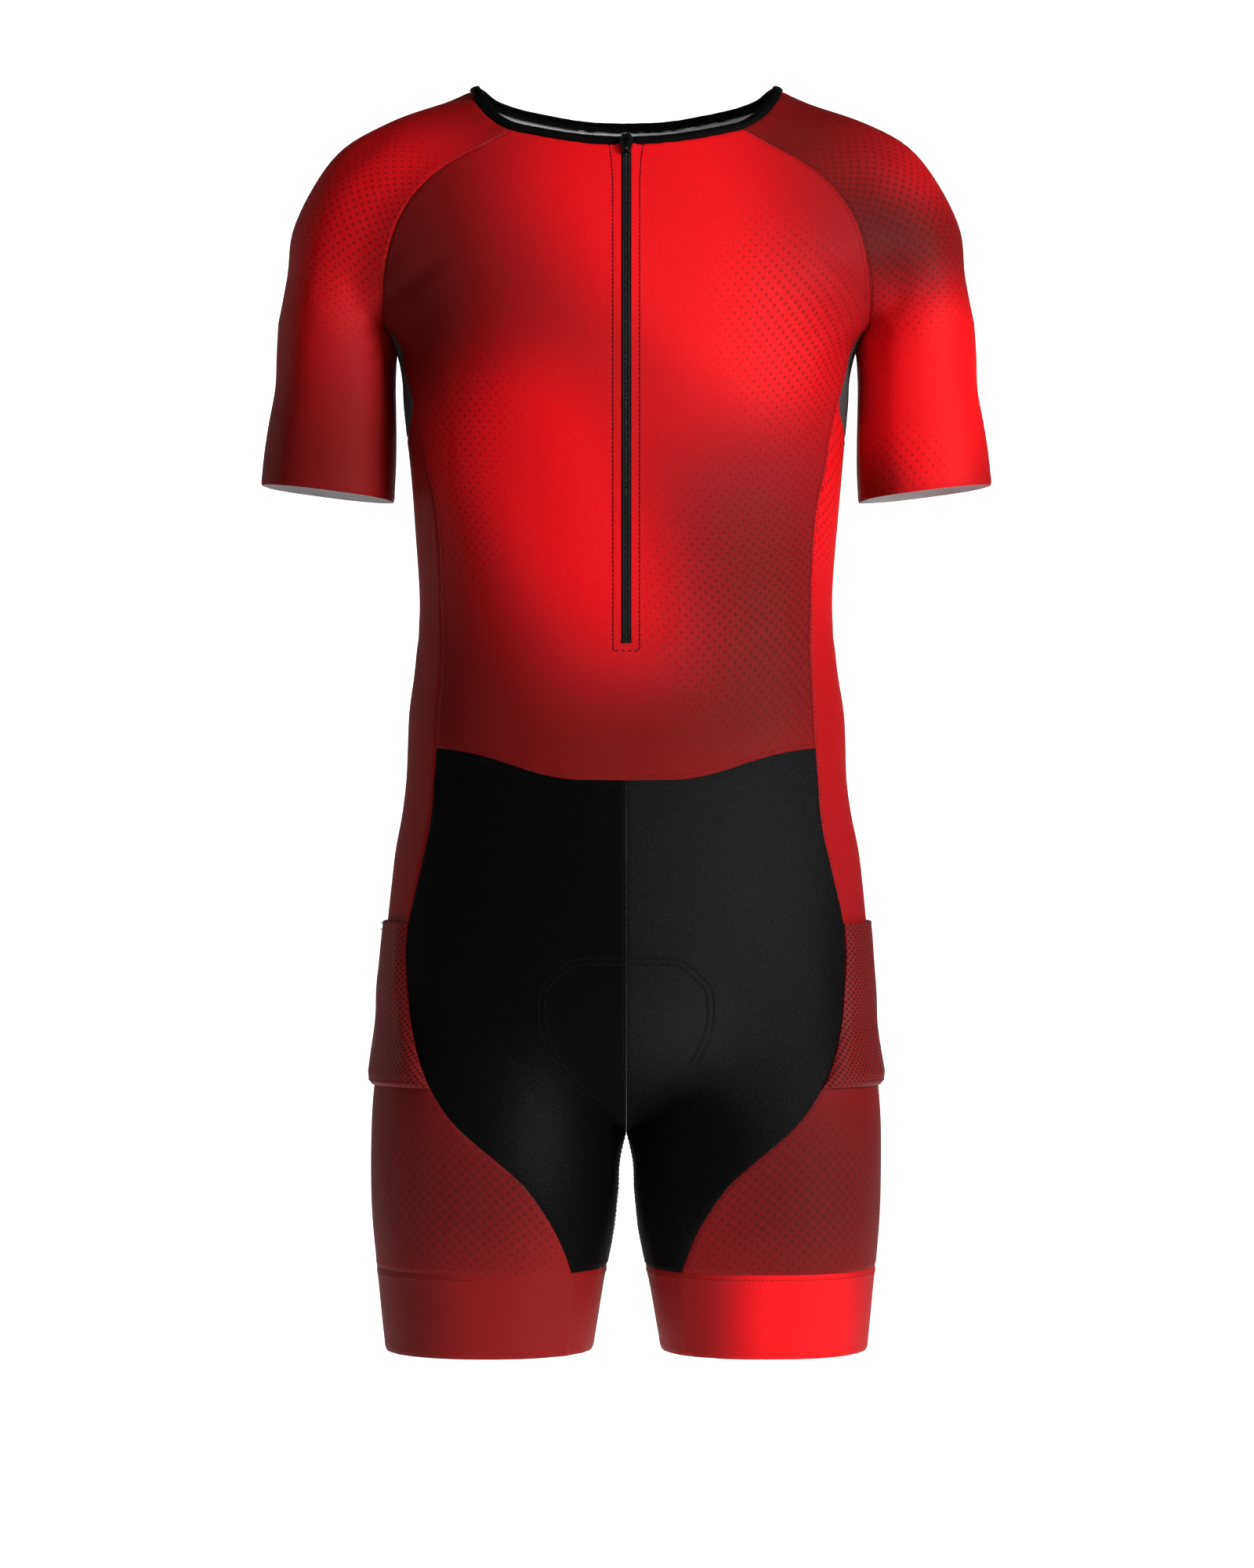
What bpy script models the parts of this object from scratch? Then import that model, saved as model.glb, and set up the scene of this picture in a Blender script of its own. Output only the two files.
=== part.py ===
"""One-piece short-sleeve, short-leg cycling suit in its worn shape, hollow and with no wearer.

Metres, +Z up. The front faces -Y and +X is the wearer's left. The origin is midway between
the two neck points, where the wearer's shoulders carry the suit. The right side mirrors the left.
"""
import math

import bmesh
import bpy
import numpy as np
from mathutils import Vector

# Walls and gaps
CLOTH_WALL = 0.0014        # bonded knit with its seam allowances
MESH_WALL = 0.0010         # open mesh of the gussets and pockets
BAND_WALL = 0.0018         # folded grip band of the legs
SEAM_GAP = 0.0003          # between two pieces at a seam
GUSSET_INSET = 0.0004      # each gusset stands in a little more, where its seams twist
FORM_ROUNDNESS = 2.3       # exponent of the rounded sections, 2 is an ellipse

# The eye that the front elevation is drawn for: its distance and its height
EYE_DISTANCE = 3.5
EYE_HEIGHT = -0.503

# General figure. Each row is a level section: height, outer side, inner side, front, back.
TRUNK_ROWS = (
    (0.020, 0.0700, -0.0700, 0.0300, 0.0380),
    (0.000, 0.1150, -0.1150, 0.0400, 0.0500),
    (-0.010, 0.1370, -0.1370, 0.0460, 0.0580),
    (-0.020, 0.1650, -0.1650, 0.0530, 0.0660),
    (-0.033, 0.1940, -0.1940, 0.0620, 0.0750),
    (-0.047, 0.2110, -0.2110, 0.0710, 0.0840),
    (-0.064, 0.2230, -0.2230, 0.0810, 0.0920),
    (-0.098, 0.2350, -0.2350, 0.0980, 0.1040),
    (-0.118, 0.2310, -0.2310, 0.1065, 0.1090),
    (-0.135, 0.2160, -0.2160, 0.1110, 0.1120),
    (-0.152, 0.1960, -0.1960, 0.1150, 0.1140),
    (-0.168, 0.1800, -0.1800, 0.1180, 0.1150),
    (-0.180, 0.1705, -0.1705, 0.1195, 0.1155),
    (-0.192, 0.1655, -0.1655, 0.1205, 0.1155),
    (-0.205, 0.1632, -0.1632, 0.1212, 0.1152),
    (-0.225, 0.1620, -0.1620, 0.1215, 0.1145),
    (-0.252, 0.1590, -0.1590, 0.1205, 0.1120),
    (-0.303, 0.1550, -0.1550, 0.1150, 0.1030),
    (-0.372, 0.1500, -0.1500, 0.1075, 0.0880),
    (-0.423, 0.1540, -0.1540, 0.1060, 0.0870),
    (-0.457, 0.1585, -0.1585, 0.1070, 0.0920),
    (-0.508, 0.1607, -0.1607, 0.1100, 0.1050),
    (-0.560, 0.1693, -0.1693, 0.1120, 0.1190),
    (-0.610, 0.1745, -0.1745, 0.1110, 0.1260),
    (-0.660, 0.1785, -0.1785, 0.1050, 0.1230),
    (-0.695, 0.1790, -0.1790, 0.0920, 0.1080),
    (-0.718, 0.1660, -0.1660, 0.0750, 0.0880),
    (-0.735, 0.1400, -0.1400, 0.0520, 0.0620),
    (-0.744, 0.1000, -0.1000, 0.0300, 0.0360),
    (-0.749, 0.0500, -0.0500, 0.0080, 0.0100),
)
LEG_ROWS = (
    (-0.660, 0.1680, 0.0120, 0.0850, 0.0950),
    (-0.700, 0.1790, 0.0080, 0.0920, 0.0990),
    (-0.730, 0.1840, 0.0055, 0.0935, 0.0975),
    (-0.765, 0.1853, 0.0048, 0.0915, 0.0950),
    (-0.800, 0.1847, 0.0066, 0.0880, 0.0920),
    (-0.833, 0.1830, 0.0103, 0.0845, 0.0885),
    (-0.867, 0.1796, 0.0171, 0.0805, 0.0850),
    (-0.902, 0.1756, 0.0234, 0.0770, 0.0815),
    (-0.930, 0.1725, 0.0290, 0.0750, 0.0795),
)
ARM_ROWS = (
    (-0.040, 0.1850, 0.1300, 0.0400, 0.0450),
    (-0.064, 0.2120, 0.1350, 0.0500, 0.0550),
    (-0.098, 0.2370, 0.1450, 0.0590, 0.0620),
    (-0.132, 0.2455, 0.1620, 0.0620, 0.0640),
    (-0.167, 0.2520, 0.1700, 0.0620, 0.0640),
    (-0.180, 0.2532, 0.1695, 0.0615, 0.0635),
    (-0.192, 0.2540, 0.1685, 0.0610, 0.0630),
    (-0.218, 0.2554, 0.1675, 0.0590, 0.0610),
    (-0.252, 0.2616, 0.1670, 0.0560, 0.0580),
    (-0.286, 0.2650, 0.1676, 0.0540, 0.0560),
    (-0.310, 0.2680, 0.1700, 0.0540, 0.0560),
)
TRUNK_END = -0.749         # underside of the crotch
LEG_TOP = -0.655           # the legs fade into the trunk above this height
ARM_TOP = -0.055           # the arms fade into the shoulders above this height
ARM_END = -0.305           # and end below the cuff
ARM_MERGE = -0.150         # arm and trunk blend softly above this height
ARM_PART = -0.190          # and stand apart below this one

# Seams drawn on the front elevation: side distance and height. The back repeats them.
RAGLAN_FRONT = (
    (0.0838, -0.0268), (0.1055, -0.0382), (0.1362, -0.0559), (0.1510, -0.0695),
    (0.1619, -0.0832), (0.1710, -0.1049), (0.1756, -0.1248), (0.1773, -0.1465),
    (0.1767, -0.1704),
)
RAGLAN_BACK = (
    (0.0240, -0.0100), (0.0580, -0.0230), (0.1000, -0.0470), (0.1320, -0.0740),
    (0.1560, -0.1030), (0.1700, -0.1350), (0.1767, -0.1704),
)
GUSSET_EDGE = ((0.1767, -0.1704), (0.1645, -0.1865), (0.1600, -0.2050), (0.1545, -0.2250))
SIDE_SEAM = (
    (0.1545, -0.2250), (0.1500, -0.2440), (0.1448, -0.2747), (0.1402, -0.2930),
    (0.1362, -0.3317), (0.1345, -0.3800), (0.1345, -0.4115), (0.1366, -0.4450),
    (0.1379, -0.4770),
)
SHORTS_SEAM = (
    (0.1379, -0.4770), (0.1419, -0.5250), (0.1459, -0.5483), (0.1522, -0.5746),
    (0.1585, -0.6036), (0.1602, -0.6224), (0.1596, -0.6435), (0.1573, -0.6680),
    (0.1550, -0.6880), (0.1499, -0.7079), (0.1436, -0.7228), (0.1340, -0.7399),
    (0.1191, -0.7570), (0.0969, -0.7758), (0.0787, -0.7912), (0.0650, -0.8077),
    (0.0524, -0.8282), (0.0439, -0.8465), (0.0400, -0.8575),
)
NECK_FRONT = (
    (0.0000, -0.0378), (0.0250, -0.0366), (0.0456, -0.0342), (0.0640, -0.0310),
    (0.0838, -0.0268), (0.0998, -0.0177), (0.1120, -0.0030),
)
NECK_BACK = ((0.0000, -0.0285), (0.0240, -0.0278), (0.0600, -0.0222), (0.0900, -0.0145),
             (0.1120, -0.0030))
NECK_FROM_BEHIND = ((0.0000, -0.0105), (0.0240, -0.0100), (0.1120, 0.0))
WAIST_FRONT = ((0.0000, -0.5003), (0.0380, -0.4998), (0.0590, -0.4965), (0.0810, -0.4900),
               (0.0997, -0.4840), (0.1170, -0.4797), (0.1379, -0.4770))
WAIST_BACK = ((0.0000, -0.4560), (0.0500, -0.4590), (0.1000, -0.4690), (0.1379, -0.4770))
GUSSET_TIP_HEIGHT = -0.2530
POCKET_TOP = -0.6050       # height of the pocket mouth on the shorts seam
POCKET_FOOT = -0.7250
BAND_TOP = -0.8520         # true height of the seam above the grip band
HEM_HEIGHT = -0.9125
CUFF_OUTER = (0.2650, -0.2860)   # side distance and height of the cuff's outer corner
CUFF_SLOPE = 0.129         # rise of the cuff towards its outer side
ARMPIT_SIDE = 0.1680       # side distance of the fold under the arm
FOLD_PLACE = (0.1709, -0.1812)   # side distance and height of the middle of that fold
GAP_SIDE = (0.1648, -0.2350)     # side distance and height of a spot between arm and trunk
FOLD_REACH = (0.0045, 0.0390, 0.0090)   # how far it reaches across, deep and up
CROTCH_DEPTH = 0.008       # how far behind the middle the crotch point and inseams lie
CROTCH_REACH = (0.002, -0.744)   # half width and upper end of the crotch's narrow strip
CENTRE_HUB = (0.0, 0.0, -0.600)  # the centre seam is drawn round this point
SHOULDER_HUB = (0.113, 0.004, -0.170)    # and the crest of the shoulder round this one
NECK_POINT = (0.1130, 0.004)     # side distance and depth of the top of the neck edge
LIMB_TURN = (-0.520, 0.220, 0.095)       # the rows' axis leaves the middle here, over this
                                         # height, and ends this far out in the leg

# Pocket, over the side panel it is sewn to
POCKET_CLEARANCE = 0.0005
POCKET_SLACK = 0.0026      # how far its middle stands off the panel
POCKET_GAPE = 0.0034       # and how much more its mouth does
POCKET_INSET = 0.0008

# Neck binding and zip
BINDING_WIDTH = 0.0080
BINDING_WALL = 0.0022
BINDING_LIFTS = (0.0003, 0.0008, 0.0004)   # at the seam, in the middle and at the fold
BINDING_HUB = (0.0, 0.005, 0.060)          # the binding turns up and in towards this point
ZIP_HALF_GAP = 0.0043      # half the slot in the front panel
ZIP_END = -0.4010          # seen height of the slot's lower end
TAPE_WALL = 0.0010
TAPE_SINK = 0.0003         # how far the tapes lie below the front's face
TAPE_HALF_GAP = 0.0002     # half the slit between the tapes
COIL_HALF_WIDTH = 0.0026
COIL_HEIGHT = 0.0013
STOP_HALF_WIDTH = 0.0030
STOP_HEIGHT = 0.0018
STOP_ENDS = (0.0037, 0.0009)   # above the slot's lower end
SLIDER_SIZE = (0.0096, 0.0158, 0.0028)   # width, length, thickness
SLIDER_FOOT_WIDTH = 0.0064
SLIDER_CENTRE = -0.0392    # seen height of its middle
SLIDER_LIFT = 0.0014
BAIL_HEIGHT = 0.0021       # of the bar's centre above the slider's face
BAIL_BAR = 0.0009
BAIL_HALF_WIDTH = 0.0021
BAIL_POST = 0.0008
BAIL_PLACE = 0.0030        # above the slider's middle
TAB_HALF_WIDTH = 0.0010
TAB_EYE = (0.0015, 0.00085)   # outer and inner radius of the tab's eye
TAB_LENGTH = 0.0105

# Cells along the seams and across the panels
RAGLAN_CELLS = 7
GUSSET_CELLS = 3
SIDE_CELLS = 10
SHORTS_CELLS = (5, 5, 7)   # waist to pocket, pocket, pocket to grip band
CENTRE_CELLS = 12          # centre seam, waist to crotch
HALF_FRONT_CELLS = 8
BACK_CELLS = 12
SLEEVE_CELLS = 14          # over the shoulder
SIDE_PANEL_CELLS = 12
SLEEVE_LENGTH_CELLS = 5    # armhole to cuff
BAND_CELLS = 2

# Colour, roughness and metallic of each material
RED = (0.62, 0.012, 0.016, 1.0)
DEEP_RED = (0.24, 0.006, 0.010, 1.0)
BLACK = (0.012, 0.012, 0.013, 1.0)
METAL_BLACK = (0.03, 0.03, 0.032, 1.0)
STEEL = (0.45, 0.45, 0.46, 1.0)
CLOTH_ROUGHNESS = 0.6


def clear_scene():
    """Remove whatever the file opened with."""
    for obj in list(bpy.data.objects):
        bpy.data.objects.remove(obj, do_unlink=True)


def smooth_table(rows, where):
    """Values of the rows at the given places, along a smooth curve that never overshoots."""
    table = np.array(sorted(rows), dtype=float)
    key, values = table[:, 0], table[:, 1:]
    step = np.diff(key)[:, None]
    slope = np.diff(values, axis=0) / step
    left, right = slope[:-1], slope[1:]
    same = left * right > 0
    middle = np.where(same, 2 * left * right / np.where(same, left + right, 1), 0)
    tangent = np.vstack([slope[:1], middle, slope[-1:]])
    where = np.clip(where, key[0], key[-1])
    i = np.clip(np.searchsorted(key, where) - 1, 0, len(key) - 2)
    width = (key[i + 1] - key[i])[..., None]
    t = ((where - key[i]) / (key[i + 1] - key[i]))[..., None]
    return (
        values[i] * (1 + 2 * t) * (1 - t) ** 2
        + values[i + 1] * t * t * (3 - 2 * t)
        + width * tangent[i] * t * (1 - t) ** 2
        - width * tangent[i + 1] * t * t * (1 - t)
    )


def section_distance(points, rows):
    """About how far each point lies outside the limb whose level sections the rows give."""
    outer, inner, front, back = np.moveaxis(smooth_table(rows, points[..., 2]), -1, 0)
    half = (outer - inner) / 2
    across = np.abs((np.abs(points[..., 0]) - (outer + inner) / 2) / half)
    deep = np.abs(points[..., 1]) / np.where(points[..., 1] < 0, front, back)
    ring = (across**FORM_ROUNDNESS + deep**FORM_ROUNDNESS) ** (1 / FORM_ROUNDNESS)
    return (ring - 1) * np.minimum(half, (front + back) / 2)


def blend(a, b, reach):
    """The nearer of two distances, rounded over where they are within reach of each other."""
    overlap = np.clip(1 - np.abs(a - b) / reach, 0, 1)
    return np.minimum(a, b) - overlap**2 * reach / 4


def body_form(points):
    """Signed distance to trunk and legs, rounded into each other."""
    height = points[..., 2]
    trunk = section_distance(points, TRUNK_ROWS) + np.clip(TRUNK_END - height, 0, None)
    leg = section_distance(points, LEG_ROWS) + 3 * np.clip(height - LEG_TOP, 0, None)
    near_middle = np.clip(1 - np.abs(points[..., 0]) / 0.09, 0, 1)
    return blend(trunk, leg, 0.006 + 0.016 * near_middle)


def arm_form(points):
    """Signed distance to the arms, which end inside the shoulders and below the cuffs."""
    height = points[..., 2]
    beyond = np.clip(height - ARM_TOP, 0, None) + np.clip(ARM_END - height, 0, None)
    return section_distance(points, ARM_ROWS) + 2 * beyond


def form(points):
    """Signed distance to the figure: body and arms, rounded into each other at the shoulders."""
    merged = np.clip((points[..., 2] - ARM_PART) / (ARM_MERGE - ARM_PART), 0, 1)
    return blend(body_form(points), arm_form(points), 0.003 + 0.013 * merged)


def gradient(points, shape=form):
    """Slope of a shape at each point, by central differences."""
    step = 0.0004
    axes = np.eye(3) * step
    return np.stack([(shape(points + a) - shape(points - a)) / (2 * step) for a in axes], -1)


def unit(vectors):
    return vectors / np.maximum(np.linalg.norm(vectors, axis=-1, keepdims=True), 1e-12)


def onto_form(points, shape=form):
    """Move points along the slope until they lie on the shape."""
    points = np.array(points, dtype=float)
    for _ in range(12):
        slope = gradient(points, shape)
        size = np.maximum((slope**2).sum(-1, keepdims=True), 0.15)
        move = shape(points)[..., None] * slope / size
        far = np.maximum(np.linalg.norm(move, axis=-1, keepdims=True) / 0.012, 1)
        points = points - move / far
    return points


def cast(start, toward, reach, samples=160):
    """Where lines that start outside first meet the form."""
    toward = unit(toward)
    places = np.linspace(0, reach, samples)
    inside = np.stack([form(start + toward * t) < 0 for t in places])
    first = np.argmax(inside, axis=0)
    first = np.where(inside.any(axis=0), first, samples // 2)
    near = places[np.maximum(first - 1, 0)]
    far = places[first]
    for _ in range(24):
        middle = (near + far) / 2
        hit = form(start + toward * middle[..., None]) < 0
        far = np.where(hit, middle, far)
        near = np.where(hit, near, middle)
    return start + toward * far[..., None]


def seen(drawn, back=False):
    """Points of the form under points of the elevation, from the eye in front or behind."""
    drawn = np.asarray(drawn, dtype=float)
    facing = 1.0 if back else -1.0
    target = np.stack([drawn[..., 0], np.zeros_like(drawn[..., 0]), drawn[..., 1]], -1)
    eye = np.array([0.0, facing * EYE_DISTANCE, EYE_HEIGHT])
    ray = unit(target - eye)
    return cast(target - ray * 0.22, ray, 0.34)


def smooth_curve(points, cells, fine=40):
    """Evenly spaced points on a smooth curve through the drawn points."""
    points = np.asarray(points, dtype=float)
    ends = np.vstack([2 * points[0] - points[1], points, 2 * points[-1] - points[-2]])
    line = []
    for a, b, c, d in zip(ends, ends[1:], ends[2:], ends[3:]):
        t = np.linspace(0, 1, fine, endpoint=False)[:, None]
        line.append(
            0.5 * (2 * b + (c - a) * t + (2 * a - 5 * b + 4 * c - d) * t**2
                   + (3 * b - a - 3 * c + d) * t**3)
        )
    line.append(points[-1:])
    return spaced(np.vstack(line), cells)


def spaced(line, cells):
    """The same line with evenly spaced points."""
    length = np.concatenate([[0], np.cumsum(np.linalg.norm(np.diff(line, axis=0), axis=1))])
    want = np.linspace(0, length[-1], cells + 1)
    return np.stack([np.interp(want, length, column) for column in line.T], -1)


def part_of_curve(table, low, high, cells):
    """The stretch of a drawn seam between two heights."""
    line = smooth_curve(table, 600)
    keep = line[(line[:, 1] < low + 1e-9) & (line[:, 1] > high - 1e-9)]
    ends = [line[np.argmin(np.abs(line[:, 1] - h))] for h in (low, high)]
    return spaced(np.vstack([ends[0], keep[1:-1], ends[1]]), cells)


def over_form(a, b, cells):
    """An evenly spaced path over the form between two of its points."""
    t = np.linspace(0, 1, cells + 1)[:, None]
    line = a + (b - a) * t
    for _ in range(3):
        line[1:-1] = onto_form(line[1:-1])
        line = spaced(line, cells)
    line[1:-1] = onto_form(line[1:-1])
    return line


def limb_centre(height):
    """Side distance of the axis that the shorts' rows turn about, from trunk to leg."""
    top, span, side = LIMB_TURN
    t = np.clip((top - height) / span, 0, 1)
    return side * t * t * (3 - 2 * t)


def around(a, b, cells, sign, bend=0.0):
    """A row around the trunk or leg from a to b, turning through the front or outer side.

    sign is -1 to pass the front of the leg, +1 its back and 0 its outer side. bend lowers
    the middle of the row.
    """
    angle = []
    radius = []
    for point in (a, b):
        rel = point[:2] - np.array([limb_centre(point[2]), 0.0])
        turn = math.atan2(rel[1], rel[0])
        if sign * turn < -0.5 * math.pi:
            turn += sign * 2 * math.pi
        angle.append(turn)
        radius.append(np.hypot(*rel))
    t = np.linspace(0, 1, cells + 1)
    for _ in range(3):
        turn = angle[0] + (angle[1] - angle[0]) * t
        size = radius[0] + (radius[1] - radius[0]) * t
        height = a[2] + (b[2] - a[2]) * t - bend * (4 * t * (1 - t)) ** 0.7
        row = np.stack([limb_centre(height) + size * np.cos(turn), size * np.sin(turn), height], -1)
        row[1:-1] = onto_form(row[1:-1], body_form)
        row[0], row[-1] = a, b
        run = np.concatenate([[0], np.cumsum(np.linalg.norm(np.diff(row, axis=0), axis=1))])
        t = np.interp(np.linspace(0, run[-1], cells + 1), run, t)
    return row


def mirrored(points):
    return points * np.array([-1.0, 1.0, 1.0])


def neck_height(table, side):
    """Drawn height of the neck edge, or of another edge given from the middle outwards."""
    return smooth_table(table, np.abs(side))[..., 0]


def shared_seams():
    """Every seam of the left side as points on the form. Two pieces that meet share them."""
    seams = {}
    top, low, foot = SHORTS_CELLS
    for face, raglan in (("front", RAGLAN_FRONT), ("back", RAGLAN_BACK)):
        back = face == "back"
        drawn = {
            "raglan": smooth_curve(raglan, RAGLAN_CELLS),
            "gusset": smooth_curve(GUSSET_EDGE, GUSSET_CELLS),
            "side": smooth_curve(SIDE_SEAM, SIDE_CELLS),
            "shorts": np.vstack([
                part_of_curve(SHORTS_SEAM, SHORTS_SEAM[0][1], POCKET_TOP, top),
                part_of_curve(SHORTS_SEAM, POCKET_TOP, POCKET_FOOT, low)[1:],
                part_of_curve(SHORTS_SEAM, POCKET_FOOT, SHORTS_SEAM[-1][1], foot)[1:],
            ]),
        }
        for name, line in drawn.items():
            seams[name + "_" + face + "_drawn"] = line
            seams[name + "_" + face] = seen(line, back)
        seams["shorts_" + face][-1, 2] = BAND_TOP
        seams["shorts_" + face][-1:] = onto_level(seams["shorts_" + face][-1:])
    seams["centre"] = centre_seam()
    seams["inseam"] = inseam(seams["centre"][CENTRE_CELLS], sum(SHORTS_CELLS) - CENTRE_CELLS)
    seams["armpit"] = armpit_fold(seams["gusset_front"][0], seams["gusset_back"][0])
    seams["neck_sleeve"] = neck_over_sleeve(seams["raglan_front"][0], seams["raglan_back"][0])
    return seams


def onto_level(points, shape=body_form):
    """Put points back on the shape without changing their heights."""
    for _ in range(12):
        slope = gradient(points, shape) * np.array([1.0, 1.0, 0.0])
        points = points - shape(points)[..., None] * slope / (slope**2).sum(-1, keepdims=True)
    return points


def centre_seam():
    """Centre front, under the crotch and up the centre back, on the plane between the legs."""
    hub = np.array(CENTRE_HUB)
    start = seen([(0.0, WAIST_FRONT[0][1])])[0] - hub
    crotch = np.array([0.0, CROTCH_DEPTH, TRUNK_END]) - hub
    finish = seen([(0.0, WAIST_BACK[0][1])], back=True)[0] - hub
    halves = []
    for a, b, sign in ((start, crotch, -1), (finish, crotch, 1)):
        turns = [math.atan2(v[2], sign * v[1]) for v in (a, b)]
        turn = np.linspace(turns[0], turns[1], 200)
        ray = np.stack([np.zeros_like(turn), sign * np.cos(turn), np.sin(turn)], -1)
        line = cast(hub + ray * 0.26, -ray, 0.26)
        halves.append(spaced(line, CENTRE_CELLS))
    return np.vstack([halves[0], halves[1][::-1][1:]])


def inseam(crotch, cells):
    """Down the inner side of the leg from the crotch point to the grip band."""
    height = np.linspace(crotch[2], BAND_TOP, cells + 1)[1:]
    start = np.stack([np.full(cells, 0.0), np.full(cells, CROTCH_DEPTH), height], -1)
    line = cast(start, np.tile([1.0, 0.0, 0.0], (cells, 1)), 0.06)
    return np.vstack([crotch, line])


def armpit_fold(front, back):
    """The fold under the arm, where the sleeve turns into the gusset."""
    t = np.linspace(0, 1, SIDE_PANEL_CELLS + 1)
    deep = front[1] + (back[1] - front[1]) * t
    share = np.abs(2 * t - 1) ** 2
    side = ARMPIT_SIDE + (0.5 * (front[0] + back[0]) - ARMPIT_SIDE) * share
    start = np.stack([np.full_like(t, GAP_SIDE[0]), deep, np.full_like(t, GAP_SIDE[1])], -1)
    above = np.stack([side, deep, np.full_like(t, front[2] + 0.010)], -1)
    fold = cast(start, above - start, 0.09)
    fold[0], fold[-1] = front, back
    return fold


def neck_over_sleeve(front, back):
    """The neck edge of the sleeve, over the neck point."""
    half = SLEEVE_CELLS // 2
    above = np.array([[*NECK_POINT, 0.05]])
    neck_point = cast(above, np.array([[0.0, 0.0, -1.0]]), 0.09)
    halves = []
    for end, table, view in ((front, NECK_FRONT, seen), (back, NECK_BACK, behind)):
        side = np.linspace(end[0], NECK_POINT[0], 60)[:-6]
        drawn = np.stack([side, neck_height(table, side)], -1)
        halves.append(spaced(np.vstack([end, view(drawn)[1:], neck_point]), half))
    return np.vstack([halves[0], halves[1][::-1][1:]])


def behind(drawn):
    """Points at the back of the form that the eye in front sees through the neck."""
    drawn = np.asarray(drawn, dtype=float)
    target = np.stack([drawn[..., 0], np.zeros_like(drawn[..., 0]), drawn[..., 1]], -1)
    ray = unit(target - np.array([0.0, -EYE_DISTANCE, EYE_HEIGHT]))
    return cast(target + ray * 0.16, -ray, 0.20)


def body_rows(seams, face):
    """Drawn half widths and heights of the side edge of the front or back, top to waist."""
    names = ("raglan", "gusset", "side")
    lines = [seams[name + "_" + face + "_drawn"] for name in names]
    return np.vstack([lines[0], lines[1][1:], lines[2][1:]])


def side_edge(seams, face):
    lines = [seams[name + "_" + face] for name in ("raglan", "gusset", "side")]
    return np.vstack([lines[0], lines[1][1:], lines[2][1:]])


def across_shares(half_cells, slot):
    """Shares of the half width for the columns, from the left edge to the right one."""
    one_side = np.linspace(0, 1, half_cells + 1)
    if slot:
        return np.concatenate([-one_side[::-1], one_side])
    return np.concatenate([-one_side[::-1], one_side[1:]])


def drawn_body(seams, face, half_cells, slot, top_table, low_table):
    """Side distance and height of each column of the front or back panel, row by row."""
    edge = body_rows(seams, face)
    shares = across_shares(half_cells, slot > 0)
    sign = np.where(np.arange(len(shares)) * 2 < len(shares), -1.0, 1.0)
    side = sign * slot + shares * (edge[:, :1] - slot)
    run = (edge[:, 1] - edge[0, 1]) / (edge[-1, 1] - edge[0, 1])
    run = run[:, None]
    height = (
        edge[:, 1:]
        + (1 - run) ** 2 * (neck_height(top_table, side[0]) - edge[0, 1])
        + run**2 * (neck_height(low_table, side[-1]) - edge[-1, 1])
    )
    return side, height, np.abs(shares)


def front_grid(seams):
    """Points of the front panel and the row where the zip's slot ends."""
    side, height, share = drawn_body(
        seams, "front", HALF_FRONT_CELLS, ZIP_HALF_GAP, NECK_FRONT, WAIST_FRONT
    )
    middle = HALF_FRONT_CELLS
    slot_row = int(np.argmin(np.abs(height[:, middle] - ZIP_END)))
    shift = ZIP_END - height[slot_row, middle]
    near = np.clip(1 - np.abs(np.arange(len(height)) - slot_row) / 4, 0, 1)[:, None]
    height = height + shift * near * (1 - share) ** 2
    grid = seen(np.stack([side, height], -1))
    edge = side_edge(seams, "front")
    grid[:, -1] = edge
    grid[:, 0] = mirrored(edge)
    return grid, slot_row, height[:, middle]


def back_grid(seams):
    side, height, _ = drawn_body(seams, "back", BACK_CELLS // 2, 0.0, NECK_FROM_BEHIND, WAIST_BACK)
    grid = seen(np.stack([side, height], -1), back=True)
    edge = side_edge(seams, "back")
    grid[:, -1] = edge
    grid[:, 0] = mirrored(edge)
    return grid


def gusset_grid(seams):
    """Under the arm: the fold above, the side panel's top edge below."""
    rows = [seams["armpit"]]
    fold = rows[0][:, 2].min()
    for r in range(1, GUSSET_CELLS + 1):
        a, b = seams["gusset_front"][r], seams["gusset_back"][r]
        low = fold + (GUSSET_TIP_HEIGHT - fold) * r / GUSSET_CELLS
        rows.append(around(a, b, SIDE_PANEL_CELLS, 0, a[2] - low))
    return np.stack(rows)


def side_grid(seams, gusset):
    """From under the arm to the grip band, between the front and back seams."""
    front = np.vstack([seams["side_front"], seams["shorts_front"][1:]])
    back = np.vstack([seams["side_back"], seams["shorts_back"][1:]])
    rows = [gusset[-1]]
    top_dip = front[0, 2] - GUSSET_TIP_HEIGHT
    for r in range(1, len(front)):
        dip = top_dip * max(0.0, 1 - r / 6) ** 1.5
        rows.append(around(front[r], back[r], SIDE_PANEL_CELLS, 0, dip))
    rows[-1][:, 2] = BAND_TOP
    rows[-1] = onto_level(rows[-1])
    rows[-1][0], rows[-1][-1] = front[-1], back[-1]
    return np.stack(rows)


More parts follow.
